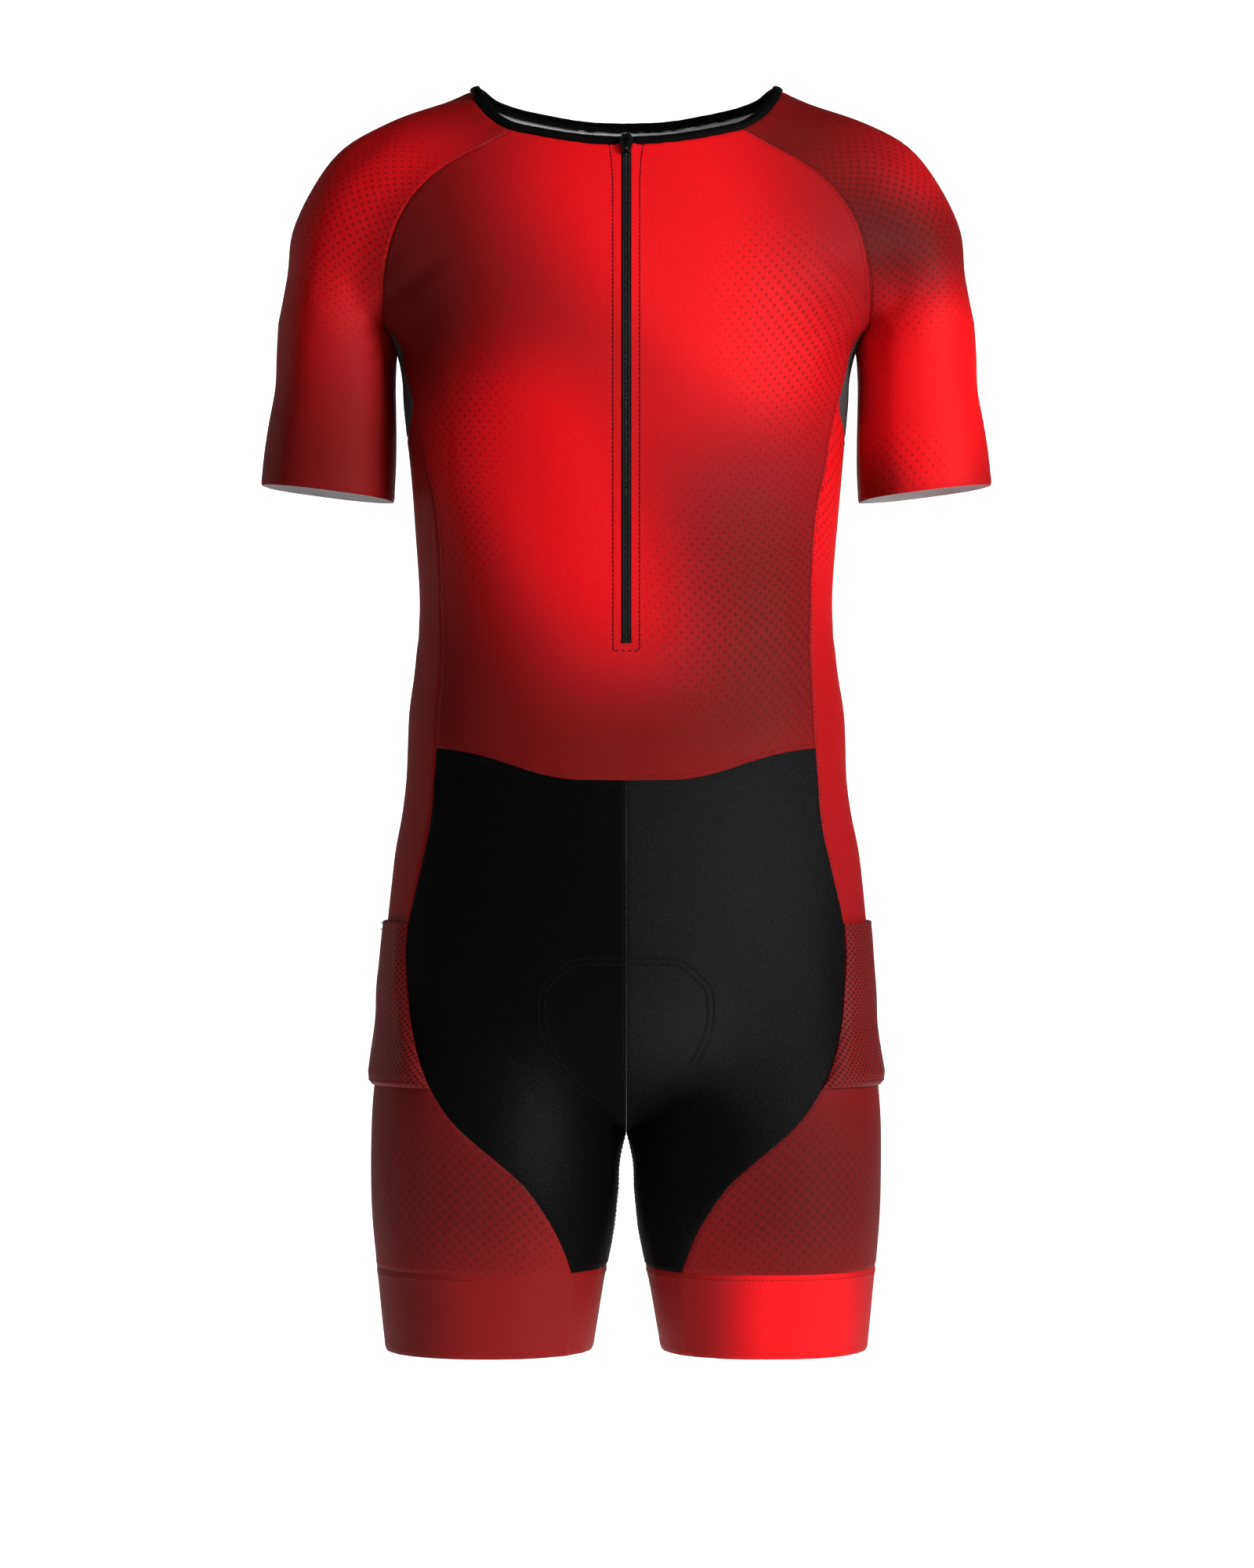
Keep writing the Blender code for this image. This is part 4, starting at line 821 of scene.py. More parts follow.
def along(net, places, breaks=(), closed=False):
    """Points of smooth curves down the columns of a net, at fractional row numbers."""
    last = len(net) - 1
    stops = sorted({0, last, *breaks})
    result = np.empty((len(places),) + net.shape[1:])
    for low, high in zip(stops, stops[1:]):
        piece = net[low : high + 1]
        if closed and len(stops) == 2:
            before, after = piece[-2:-1], piece[1:2]
        elif high - low > 1:
            before = 3 * piece[:1] - 3 * piece[1:2] + piece[2:3]
            after = 3 * piece[-1:] - 3 * piece[-2:-1] + piece[-3:-2]
        else:
            before, after = 2 * piece[:1] - piece[1:2], 2 * piece[-1:] - piece[-2:-1]
        ends = np.concatenate([before, piece, after])
        pick = (places >= low) & (places <= high)
        i = np.clip((places[pick] - low).astype(int), 0, high - low - 1)
        t = (places[pick] - low - i)[:, None, None]
        result[pick] = spline(*(ends[i + k] for k in range(4)), t)
    return result


def crosswise(net, places, breaks=(), closed=False):
    """The same along the rows, at fractional column numbers."""
    return along(net.transpose(1, 0, 2), places, breaks, closed).transpose(1, 0, 2)


def finer(net, down, across, breaks_down=(), breaks_across=()):
    """The fine net. Breaks hold at the outer edges and fade within one coarse cell."""
    wide = net.shape[1] - 1
    smooth = crosswise(along(net, down), across)
    broken = crosswise(along(net, down, breaks_down), across)
    near = np.clip(1 - np.minimum(across, wide - across), 0, 1)[None, :, None]
    made = smooth + (broken - smooth) * near
    if breaks_across:
        stopped = crosswise(along(net, down), across, breaks_across)
        near = np.clip(1 - np.minimum(down, len(net) - 1 - down), 0, 1)[:, None, None]
        made = made + (stopped - made) * near
    return made


print("fine rows of the front", len(fine_places(len(front) - 1)))

# %% [markdown]
# Creases and seam rolls
#
# Cloth under slight tension folds from where it is held: under the arms, at the waist and at the
# crotch. Each fold is one line of the table, a soft trough with low ridges beside it. Seams sit a
# little deeper than the cloth and pucker unevenly next to the thread.

# %% Table of folds and the relief they give
# start and end of the fold (x, y, z), half width and depth, left side; the right mirrors it
FOLDS = (
    ((0.186, -0.053, -0.142), (0.178, -0.048, -0.171), 0.0034, 0.0017),
    ((0.170, -0.049, -0.186), (0.183, -0.053, -0.166), 0.0030, 0.0014),
    ((0.171, -0.048, -0.190), (0.190, -0.053, -0.181), 0.0032, 0.0014),
    ((0.178, -0.046, -0.168), (0.226, -0.062, -0.146), 0.0062, 0.0019),
    ((0.179, -0.048, -0.180), (0.224, -0.058, -0.186), 0.0055, 0.0016),
    ((0.178, -0.043, -0.194), (0.214, -0.054, -0.222), 0.0060, 0.0013),
    ((0.176, 0.046, -0.168), (0.224, 0.062, -0.142), 0.0065, 0.0019),
    ((0.178, 0.048, -0.182), (0.222, 0.060, -0.190), 0.0055, 0.0015),
    ((0.172, -0.062, -0.160), (0.128, -0.104, -0.128), 0.0085, 0.0017),
    ((0.166, -0.064, -0.186), (0.126, -0.108, -0.196), 0.0090, 0.0012),
    ((0.172, 0.062, -0.158), (0.120, 0.104, -0.120), 0.0090, 0.0018),
    ((0.164, 0.060, -0.190), (0.120, 0.104, -0.210), 0.0095, 0.0014),
    ((0.146, -0.030, -0.352), (0.096, -0.094, -0.368), 0.0090, 0.0011),
    ((0.130, 0.050, -0.372), (0.010, 0.092, -0.352), 0.0110, 0.0016),
    ((0.120, 0.056, -0.410), (-0.010, 0.090, -0.398), 0.0100, 0.0013),
    ((0.148, 0.020, -0.392), (0.140, -0.050, -0.404), 0.0090, 0.0010),
    ((0.022, -0.058, -0.738), (0.100, -0.090, -0.700), 0.0085, 0.0013),
    ((0.030, -0.066, -0.756), (0.118, -0.086, -0.752), 0.0080, 0.0010),
    ((0.024, 0.070, -0.742), (0.128, 0.082, -0.726), 0.0095, 0.0017),
    ((0.030, 0.084, -0.770), (0.110, 0.092, -0.762), 0.0080, 0.0010),
    ((0.196, -0.052, -0.246), (0.244, -0.050, -0.258), 0.0075, 0.0009),
    ((0.236, 0.046, -0.232), (0.196, 0.054, -0.248), 0.0075, 0.0010),
    ((0.170, -0.040, -0.800), (0.120, -0.084, -0.812), 0.0090, 0.0008),
)
FOLD_START = 0.12          # of a half wave along a fold: it opens faster than it fades
ROLL_DEPTH = 0.00042       # how far a seam sits below the cloth
ROLL_WIDTH = 0.0013
LIP_HEIGHT = 0.45 * ROLL_DEPTH              # of the low ridge beside a seam
LIP_PLACE = 0.0036         # from the edge to the top of that ridge
LIP_WIDTH = 0.0017
PUCKER_HEIGHT = 0.00022
PUCKER_REACH = 0.0060
PUCKER_SIZE = 0.011
SLACK_HEIGHT = 0.0005      # of the wide unevenness that cloth has everywhere
SLACK_SIZE = 0.085


def ripple(points, size, seed):
    """A smooth uneven wave over space, about -1 to 1, with bumps of about that size."""
    draw = np.random.default_rng(seed)
    total = 0.0
    for _ in range(6):
        wave = unit(draw.normal(size=3)) * TURN / (size * draw.uniform(0.7, 1.5))
        total = total + np.sin(points @ wave + draw.uniform(0, TURN))
    return total / 6**0.5


def fold_relief(points):
    """Height of the folds at each point, troughs below zero."""
    height = np.zeros(len(points))
    for side_sign in (1, -1):
        for number, (start, end, width, depth) in enumerate(FOLDS):
            vary = 1.0 if side_sign > 0 else 0.75 + 0.5 * ((number * 7) % 10) / 10
            a = np.array(start) * (side_sign, 1, 1)
            b = np.array(end) * (side_sign, 1, 1) + (0, 0, 0.004 * (vary - 1))
            line = b - a
            share = np.clip((points - a) @ line / (line @ line), 0, 1)
            off = np.linalg.norm(points - a - share[:, None] * line, axis=1) / (width * vary)
            length = np.sin(math.pi * (FOLD_START + (1 - FOLD_START) * share).clip(0, 1)) ** 0.7
            height -= depth * vary * (1 - 0.9 * off**2) * np.exp(-off**2) * length
    return height


def slack(points):
    """The wide, low unevenness of cloth that isn't held taut."""
    return SLACK_HEIGHT * ripple(points, SLACK_SIZE, 11)


def cloth_relief(points, edge):
    """All the relief of a panel at points that lie the given distance from its edge."""
    roll = -ROLL_DEPTH * np.exp(-((edge / ROLL_WIDTH) ** 2))
    roll += LIP_HEIGHT * np.exp(-(((edge - LIP_PLACE) / LIP_WIDTH) ** 2))
    pucker = PUCKER_HEIGHT * ripple(points, PUCKER_SIZE, 5) * np.exp(-edge / PUCKER_REACH)
    return roll + pucker + slack(points) + fold_relief(points)


print(len(FOLDS), "folds on each side")

# %% [markdown]
# A wall of cloth
#
# Cloth has two faces and an edge. The nets of one piece are joined, moved out by the relief, and
# given an inner face one wall below. A narrow inset at the edge leaves the seam line.

# %% Join nets and find their edges
def flat_net(net, middle):
    """Flat position of each point in metres: across from the middle column, and down."""
    steps = np.linalg.norm(np.diff(net, axis=1), axis=2)
    across = np.pad(np.cumsum(steps, axis=1), ((0, 0), (1, 0)))
    across = across - across[:, middle : middle + 1]
    down = run_of(net[:, middle])
    return np.stack([across, np.broadcast_to(-down[:, None], across.shape)], -1)


def join(nets, flats, skips):
    """One list of points, cells and flat corners from several nets. Shared points are merged."""
    points, cells, corners = [], [], []
    first = 0
    for net, flat, skip in zip(nets, flats, skips):
        rows, columns = net.shape[0] - 1, net.shape[1] - 1
        r, c = np.meshgrid(np.arange(rows), np.arange(columns), indexing="ij")
        keep = ~skip(r, c) if skip else np.ones_like(r, dtype=bool)
        a = (r * (columns + 1) + c)[keep]
        quad = np.stack([a, a + 1, a + columns + 2, a + columns + 1], -1)
        cells.append(quad + first)
        corners.append(flat.reshape(-1, 2)[quad])
        points.append(net.reshape(-1, 3))
        first += net.shape[0] * net.shape[1]
    points, cells = np.vstack(points), np.vstack(cells)
    _, chosen, number = np.unique((points * 1e5).round().astype(np.int64), axis=0,
                                  return_index=True, return_inverse=True)
    number = number.reshape(-1)
    cells = number[cells]
    used, cells = np.unique(cells, return_inverse=True)
    place_of = np.full(len(chosen), -1)
    place_of[used] = np.arange(len(used))
    return points[chosen][used], cells.reshape(-1, 4), np.vstack(corners), place_of[number]


def cell_normals(points, cells):
    """Outward direction at each point, from the cells around it."""
    a, b, c, d = (points[cells[:, i]] for i in range(4))
    facing = np.cross(c - a, d - b)
    total = np.zeros_like(points)
    for i in range(4):
        np.add.at(total, cells[:, i], facing)
    return unit(total)


def rim_of(cells):
    """Edges that belong to one cell only, in that cell's own direction."""
    edges = np.vstack([cells[:, [i, (i + 1) % 4]] for i in range(4)])
    key = np.sort(edges, axis=1)
    _, first, count = np.unique(key, axis=0, return_index=True, return_counts=True)
    return edges[first[count == 1]]


def edge_distance(points, rim):
    """Distance of each point from the nearest stretch of the rim."""
    a = points[rim[:, 0]]
    line = points[rim[:, 1]] - a
    size = np.maximum((line**2).sum(1), 1e-12)
    nearest = np.empty(len(points))
    for start in range(0, len(points), 1500):
        some = points[start : start + 1500, None, :] - a[None]
        share = np.clip((some * line).sum(-1) / size, 0, 1)
        nearest[start : start + 1500] = ((some - share[..., None] * line) ** 2).sum(-1).min(1) ** 0.5
    return nearest


print("nets can be joined, and their edges found")

# %% Build the wall
SEAM_INSET = 0.00002       # half the line left open at a seam
SEAM_REACH = 0.004         # within this, the figure's own normals, so that edges meet
CLOTH_WALL = 0.0014
MESH_WALL = 0.0010
BAND_WALL = 0.0018
NECK_RIM = -0.048          # above this height the walls' rims show the inner finish
SHARP_ANGLE = math.radians(50)              # two faces that meet at more than this keep an edge


def put_in_scene(name, data):
    """A new object that shows a mesh, a light or a camera."""
    made = bpy.data.objects.new(name, data)
    bpy.context.scene.collection.objects.link(made)
    return made


def turned_inward(points, cells):
    """Whether the cells' own direction is the inner one, judged by some sixty of them."""
    sample = cells[:: max(1, len(cells) // 60)]
    facing = np.cross(points[sample[:, 2]] - points[sample[:, 0]],
                      points[sample[:, 3]] - points[sample[:, 1]])
    return (facing * gradient(points[sample[:, 0]])).sum() < 0


def seam_inset(points, normals, rim):
    """A very small step of each rim point into its own panel."""
    inward = np.zeros_like(points)
    push = unit(np.cross(normals[rim[:, 0]], points[rim[:, 1]] - points[rim[:, 0]]))
    np.add.at(inward, rim[:, 0], push)
    np.add.at(inward, rim[:, 1], push)
    size = np.maximum((inward**2).sum(1, keepdims=True), 0.5)
    return inward * 2 * SEAM_INSET / size


def wall_mesh(name, outer, inner, cells, corners, rim):
    """Outer face, inner face and rim as one closed mesh, with the flat cut as its map."""
    count = len(outer)
    faces = np.vstack([cells, cells[:, ::-1] + count,
                       np.stack([rim[:, 1], rim[:, 0], rim[:, 0] + count, rim[:, 1] + count], -1)])
    mesh = bpy.data.meshes.new(name)
    mesh.from_pydata(np.vstack([outer, inner]).tolist(), [], faces.tolist())
    layer = mesh.uv_layers.new(name="cut")
    rim_flat = np.repeat(corners[:1, :1], len(rim), axis=0).repeat(4, axis=1)
    layer.data.foreach_set("uv", np.vstack([corners, corners[:, ::-1], rim_flat]).ravel())
    mesh.shade_smooth()
    mesh.set_sharp_from_angle(angle=SHARP_ANGLE)
    return mesh


def sew(name, nets, wall, finishes, middles, lift=None, relief=cloth_relief, skips=None):
    """Build one piece of cloth. Returns its object and its outer points, net by net.

    lift says how far each point of a single net stands off the figure, and skips leaves out cells.
    """
    flats = [flat_net(net, middle) for net, middle in zip(nets, middles)]
    points, cells, corners, numbers = join(nets, flats, skips or [None] * len(nets))
    if turned_inward(points, cells):
        cells, corners = cells[:, ::-1], corners[:, ::-1]
    normals = cell_normals(points, cells)
    rim = rim_of(cells)
    edge = edge_distance(points, rim)
    near = np.exp(-((edge / SEAM_REACH) ** 2))[:, None]
    normals = unit(normals * (1 - near) + unit(gradient(points)) * near)
    raised = relief(points, edge)
    if lift is not None:
        own = np.zeros(len(points))
        own[numbers[numbers >= 0]] = lift.reshape(-1)[numbers >= 0]
        raised = raised + own
    outer = points + seam_inset(points, normals, rim) + normals * raised[:, None]
    mesh = wall_mesh(name, outer, outer - normals * wall, cells, corners, rim)
    at_neck = points[rim[:, 0], 2] > NECK_RIM
    side_of = np.concatenate([np.zeros(len(cells)), np.ones(len(cells)), at_neck])
    mesh.polygons.foreach_set("material_index", side_of.astype(np.int32))
    for material in finishes:
        mesh.materials.append(material)
    piece = put_in_scene(name, mesh)
    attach(piece, "suit")
    normals = cell_normals(outer, cells)
    made, start = [], 0
    for net in nets:
        where = numbers[start : start + net.shape[0] * net.shape[1]].reshape(net.shape[:2])
        made.append((outer[where], normals[where]))
        start += net.shape[0] * net.shape[1]
    return piece, made


def cut_size(nets, fold):
    """Width, length and area of the cut, laid out flat, with what shows of a fold at its end."""
    width = max(np.linalg.norm(np.diff(n, axis=1), axis=2).sum(1).max() for n in nets)
    length = sum(np.linalg.norm(np.diff(n, axis=0), axis=2).sum(0).max() for n in nets) + fold
    area = fold * width
    for n in nets:
        a, b, c, d = n[:-1, :-1], n[:-1, 1:], n[1:, 1:], n[1:, :-1]
        area += 0.5 * np.linalg.norm(np.cross(c - a, d - b), axis=2).sum()
    width, length = round(float(width), 3), round(float(length), 3)
    return width, length, min(round(float(area), 5), width * length)


def declare(piece, node, nets, fold=0.0):
    """Hide the solid that the piece replaces, and print the size its cloth was cut to."""
    width, length, area = cut_size(nets, fold)
    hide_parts(node)
    print(piece.name, "cut", width, "x", length, "m, area", area, "m2")


print("wall of cloth ready")

# %% [markdown]
# Finishes
#
# The red cloth is a fine polyester knit with a printed fade from bright to deep red. On the front,
# sleeves, sides and grip bands the fade also holds painted light and painted shade. Rows of dots
# grow and shrink over it, a common halftone. The black cloth is a heavier knit, and the front of the
# shorts has painted highlights and painted shade. The inside of every panel is the unprinted, light
# side of the cloth.

# %% Colours and the knit's own texture
BRIGHT_RED = (0.92, 0.0045, 0.0080, 1.0)
DEEP_RED = (0.120, 0.0042, 0.0052, 1.0)
DOT_RED = (0.045, 0.0040, 0.0048, 1.0)
BLACK_CLOTH = (0.0012, 0.0012, 0.0013, 1.0)
GREY_CLOTH = (0.0165, 0.0165, 0.0172, 1.0)
LIGHT_CLOTH = (0.80, 0.79, 0.80, 1.0)
KNIT_PITCH = 0.0012
FADE_CONTRAST = 1.7        # above 1 the deep red takes more room than the bright
GRAIN_SHARE = 0.16         # share of deep red in the darkest specks
DOT_PITCH = 0.0082
DOT_GROWTH = 0.78          # how far a full mask opens the dots
DOT_SOFTNESS = 0.22        # of their edges
DOT_STRENGTH = 0.50        # share of the dot's colour in the middle of a dot


def knit(flat, pitch):
    """Height of fine knitted loops: columns of small V shapes with uneven tension."""
    u, v, _ = parts(flat)
    column = (u * (TURN / pitch)).sin()
    loops = ((v + column * (0.22 * pitch)) * (TURN / (pitch * 0.8))).sin()
    uneven = flat.node("TexNoise", Vector=flat, Scale=420.0, Detail=3.0)
    return column * 0.35 + loops * 0.35 + uneven * 1.6


def spot(x, z, centre_x, centre_z, reach_x, reach_z, lean=0.0):
    """A soft oval patch, 1 in its middle and fading outward, leaning by so many radians."""
    cos, sin = math.cos(lean), math.sin(lean)
    a, b = x - centre_x, z - centre_z
    across = (a * cos + b * sin) * (1 / reach_x)
    down = (b * cos - a * sin) * (1 / reach_z)
    return ((across * across + down * down) * -1.0).math("EXPONENT")


def dots(flat, mask):
    """Staggered rows of dots on gently curved lines. They grow with the mask."""
    u, v, _ = parts(flat)
    across = ((u + (v * 21.0).sin() * 0.010) * (TURN / DOT_PITCH) + TURN / 4).sin()
    down = ((v + (u * 17.0).sin() * 0.014) * (TURN / DOT_PITCH) + TURN / 4).sin()
    threshold = 1.02 - mask * DOT_GROWTH
    return (across * down - threshold).ramp(0.0, DOT_SOFTNESS)


def printed(name, fade_and_light, dot_mask):
    """Red printed knit. fade_and_light and dot_mask are made by functions of the place on the suit;
    fade_and_light holds the print's colour field and, on most pieces, painted light and painted
    shade.
    """
    material, shader, place, flat = finish(name, 0.62, specular=0.12)
    x, y, z = parts(place)
    # bright mixes the print with painted light and painted shade from the tables
    bright = fade_and_light(x, y, z).ramp(0.0, 1.0).power(FADE_CONTRAST)
    grain = place.node("TexNoise", Vector=place, Scale=800.0, Detail=2.0)
    red = bright.mix(DEEP_RED, BRIGHT_RED)
    red = (dots(flat, dot_mask(x, y, z)) * DOT_STRENGTH).mix(red, DOT_RED)
    red = (grain.ramp(0.42, 0.75) * GRAIN_SHARE).mix(red, DEEP_RED)
    paint(shader, red)
    emboss(shader, knit(flat, KNIT_PITCH), 0.00012, 0.55)
    return material


print("print helpers ready")

# %% The fades of the print, with painted light and shade
# bright and dark patches: weight, then middle (x, z), reach (x, z) and lean in radians. On the
# front, sleeves, sides and grip bands the patches mix the print with painted light and painted
# shade, and the shorts' patches are painted highlights and painted shade on the black cloth
# print, with painted light and painted shade
FRONT_PRINT_AND_LIGHT = (
    (0.58, 0.038, -0.105, 0.078, 0.135, 0.0),
    (0.26, -0.045, -0.060, 0.075, 0.070, 0.3),
    (0.50, -0.036, -0.330, 0.060, 0.112, 0.55),
    (0.36, -0.085, -0.255, 0.055, 0.060, 0.9),
    (0.32, 0.095, -0.205, 0.065, 0.055, 0.3),
    (-0.27, -0.160, -0.165, 0.058, 0.115, -0.2),
    (-0.12, 0.040, -0.215, 0.075, 0.030, -0.5),
    (-0.12, 0.085, -0.350, 0.060, 0.110, 0.3),
    (-0.16, 0.030, -0.465, 0.110, 0.045, 0.2),
    (-0.14, -0.120, -0.450, 0.050, 0.060, 0.4),
)
BACK_FADE = (
    (0.60, -0.055, -0.110, 0.110, 0.130, 0.0),
    (0.50, 0.050, -0.270, 0.075, 0.140, -0.6),
    (0.30, -0.070, -0.420, 0.090, 0.070, 0.0),
    (-0.30, 0.130, -0.160, 0.070, 0.110, 0.2),
    (-0.22, -0.060, -0.280, 0.080, 0.070, 0.4),
)
# print, with painted light and painted shade on both sleeves
SLEEVE_PRINT_AND_LIGHT = (
    (0.62, 0.225, -0.205, 0.062, 0.062, 0.2),
    (0.40, 0.215, -0.272, 0.035, 0.045, 0.0),
    (0.22, 0.215, -0.065, 0.050, 0.035, 0.6),
    (-0.36, 0.185, -0.112, 0.055, 0.036, -0.3),
    (-0.26, 0.180, -0.292, 0.028, 0.032, 0.0),
    (0.34, -0.205, -0.100, 0.045, 0.095, -0.2),
    (0.24, -0.145, -0.055, 0.045, 0.030, 0.3),
    (-0.16, 0.125, -0.035, 0.045, 0.030, 0.7),
    (-0.10, -0.215, -0.275, 0.060, 0.050, 0.0),
)
# print, with painted light on the right side panel and painted shade on the left
SIDE_PRINT_AND_LIGHT = (
    (0.46, 0.155, -0.300, 0.060, 0.110, 0.0),
    (0.16, 0.170, -0.500, 0.060, 0.110, 0.0),
    (-0.26, 0.140, -0.790, 0.075, 0.075, 0.0),
    (-0.20, -0.120, -0.790, 0.070, 0.070, 0.0),
    (-0.24, -0.170, -0.770, 0.035, 0.080, 0.0),
)
# print, with painted light on the right band and painted shade on the left
BAND_PRINT_AND_LIGHT = (
    (0.64, 0.122, -0.880, 0.048, 0.100, 0.0),
    (-0.22, -0.170, -0.880, 0.035, 0.100, 0.0),
)
# painted highlights and painted shade on the black front of the shorts
SHORTS_PAINTED_LIGHT = (
    (0.20, 0.075, -0.570, 0.060, 0.100, 0.0),
    (0.22, 0.045, -0.680, 0.040, 0.040, 0.0),
    (-0.62, 0.045, -0.765, 0.050, 0.046, 0.2),
    (-0.30, 0.020, -0.850, 0.030, 0.040, 0.0),
    (-0.25, 0.155, -0.640, 0.018, 0.090, 0.0),
    (0.45, -0.062, -0.755, 0.028, 0.060, 0.0),
    (-0.20, -0.015, -0.725, 0.020, 0.030, 0.0),
)
# the dots grow in these patches, in the same columns
FRONT_DOTS = (
    (0.90, 0.125, -0.180, 0.055, 0.080, 0.3),
    (1.10, 0.110, -0.385, 0.085, 0.100, 0.4),
    (0.55, -0.120, -0.235, 0.050, 0.050, 0.5),
    (0.60, -0.115, -0.330, 0.035, 0.060, 0.2),
)
SLEEVE_DOTS = (
    (1.15, 0.185, -0.095, 0.065, 0.080, 0.5),
    (0.90, -0.185, -0.105, 0.060, 0.080, -0.5),
    (0.60, 0.190, -0.275, 0.050, 0.030, 0.2),
)
SIDE_DOTS = (
    (0.85, 0.150, -0.290, 0.050, 0.070, 0.0),
    (1.25, 0.120, -0.800, 0.100, 0.060, 0.0),
    (1.25, -0.120, -0.800, 0.100, 0.060, 0.0),
)


def field(table, start=0.0):
    """A function of the place on the suit: a start value and the table's patches on it."""

    def total(x, y, z):
        value = x * 0.0 + start
        for weight, *patch in table:
            value = value + spot(x, z, *patch) * weight
        return value

    return total


# the front, sleeve, side and band prints carry painted light and painted shade in their fades
red_front = printed("front_print_and_light", field(FRONT_PRINT_AND_LIGHT, 0.42), field(FRONT_DOTS))
red_back = printed("back_print", field(BACK_FADE, 0.40), field(FRONT_DOTS))
red_sleeve = printed("sleeve_print_and_light", field(SLEEVE_PRINT_AND_LIGHT, 0.42), field(SLEEVE_DOTS))
red_side = printed("side_print_and_light", field(SIDE_PRINT_AND_LIGHT, 0.38), field(SIDE_DOTS))
red_band = printed("band_print_and_light", field(BAND_PRINT_AND_LIGHT, 0.34), field(()))
print("printed cloth:", [m.name for m in (red_front, red_back, red_sleeve, red_side, red_band)])

# %% Black knit, meshes and the light inside
def black_knit(name, tone, roughness=0.68, pitch=KNIT_PITCH):
    """Black knit. tone is a function of the place: 0 for black and 1 for the greyest."""
    material, shader, place, flat = finish(name, roughness, specular=0.045)
    grain = place.node("TexNoise", Vector=place, Scale=950.0, Detail=2.0)
    # on the front of the shorts the tone holds painted highlights and painted shade
    share = tone(*parts(place)) + (grain.ramp(0.3, 0.8) - 0.5) * 0.35
    paint(shader, share.ramp(0.0, 1.0).mix(BLACK_CLOTH, GREY_CLOTH))
    emboss(shader, knit(flat, pitch), 0.00012, 0.6)
    return material


def front_tone_and_light(x, y, z):
    """The half on the wearer's left is a little lighter, and the table adds painted highlights and
    painted shade on the legs.
    """
    half = x.ramp(-0.0004, 0.0004)
    # painted highlights and painted shade
    table = field(SHORTS_PAINTED_LIGHT)(x, y, z)
    return half * 0.42 + 0.06 + table


def open_mesh(name, pitch, thread, hole_shade, slant=1.0):
    """Knitted mesh: a lattice of thread round rows of small openings. The openings are filled with
    the hole_shade colour, painted shade where the mesh is open.
    """
    material, shader, _, flat = finish(name, 0.6, specular=0.16)
    u, v, _ = parts(flat)
    lattice = (u * (TURN / pitch)).sin() * (v * (TURN / (pitch * slant))).sin()
    gap = lattice.ramp(0.05, 0.55)
    # the openings get painted shade
    paint(shader, gap.mix(thread, hole_shade))
    emboss(shader, 1 - gap, 0.0006, 0.9)
    return material


PIN_PITCH = 0.0032
PIN_GREY = (0.40, 0.38, 0.39, 1.0)
PATCH_WHITE = (0.94, 0.94, 0.94, 1.0)
PATCH_HALF_WIDTH = 0.0245
PATCH_END = -0.056         # height of its lower edge


def inside_cloth():
    """The unprinted inside, pricked with fine holes, with a plain patch at the back of the neck."""
    material, shader, place, flat = finish("inside_cloth", 0.75, specular=0.25, sheen=0.1)
    u, v, _ = parts(flat)
    wave = TURN / PIN_PITCH
    pin = ((u * wave).sin() * (v * wave).sin()).ramp(0.45, 0.75)
    x, y, z = parts(place)
    patch = (PATCH_HALF_WIDTH - x.math("ABSOLUTE")).ramp(0.0, 0.0006) * (y - 0.02).ramp(0.0, 0.001)
    patch = patch * (z - PATCH_END).ramp(0.0, 0.0006)
    light = (pin * (1 - patch) * 0.55).mix(LIGHT_CLOTH, PIN_GREY)
    paint(shader, patch.mix(light, PATCH_WHITE))
    emboss(shader, knit(flat, KNIT_PITCH), 0.0001, 0.4)
    return material


inside = inside_cloth()
# the front of the shorts has painted highlights and painted shade in its tone
black_front = black_knit("shorts_knit_and_light", front_tone_and_light)
black_seat = black_knit("seat_knit", field((), 0.25))
black_binding = black_knit("binding_knit", field((), 0.22), 0.55, 0.0009)
# the second colour of each mesh is painted shade in its openings
underarm_mesh = open_mesh("underarm_mesh", 0.0026, (0.085, 0.083, 0.085, 1.0),
                          (0.006, 0.006, 0.006, 1.0), 1.3)
pocket_mesh = open_mesh("pocket_mesh", 0.0046, (0.190, 0.0055, 0.0070, 1.0),
                        (0.045, 0.0030, 0.0034, 1.0), 1.0)
print("plain cloth:", [m.name for m in (black_front, underarm_mesh, pocket_mesh, inside)])

# %% [markdown]
# Sewing the panels
#
# Now the nets become pieces. The front keeps its slot for the zip. Each piece hides the solid that
# it replaces, and prints the size its cloth was cut to.

# %% Front and back
down = fine_places(len(front) - 1)
across = fine_places(front.shape[1] - 1)
breaks = (RAGLAN_CELLS, RAGLAN_CELLS + GUSSET_CELLS)
front_fine = finer(front, down, across, breaks)
slot_left = int(np.flatnonzero(np.isclose(across, HALF_FRONT_CELLS))[0])
slot_right = int(np.flatnonzero(np.isclose(across, HALF_FRONT_CELLS + 1))[0])
slot_end = int(np.flatnonzero(np.isclose(down, slot_row))[0])
ZIP_LAP = 0.0006           # how far the folded edge laps over the zip's tape
ZIP_LIP = 0.0006           # and how high it stands
ZIP_LIP_PLACE = 0.0008     # from the slot's edge to the top of that fold
ZIP_LIP_WIDTH = 0.0019
ZIP_CALM = 0.0030          # within this of the zip the cloth has no seam roll


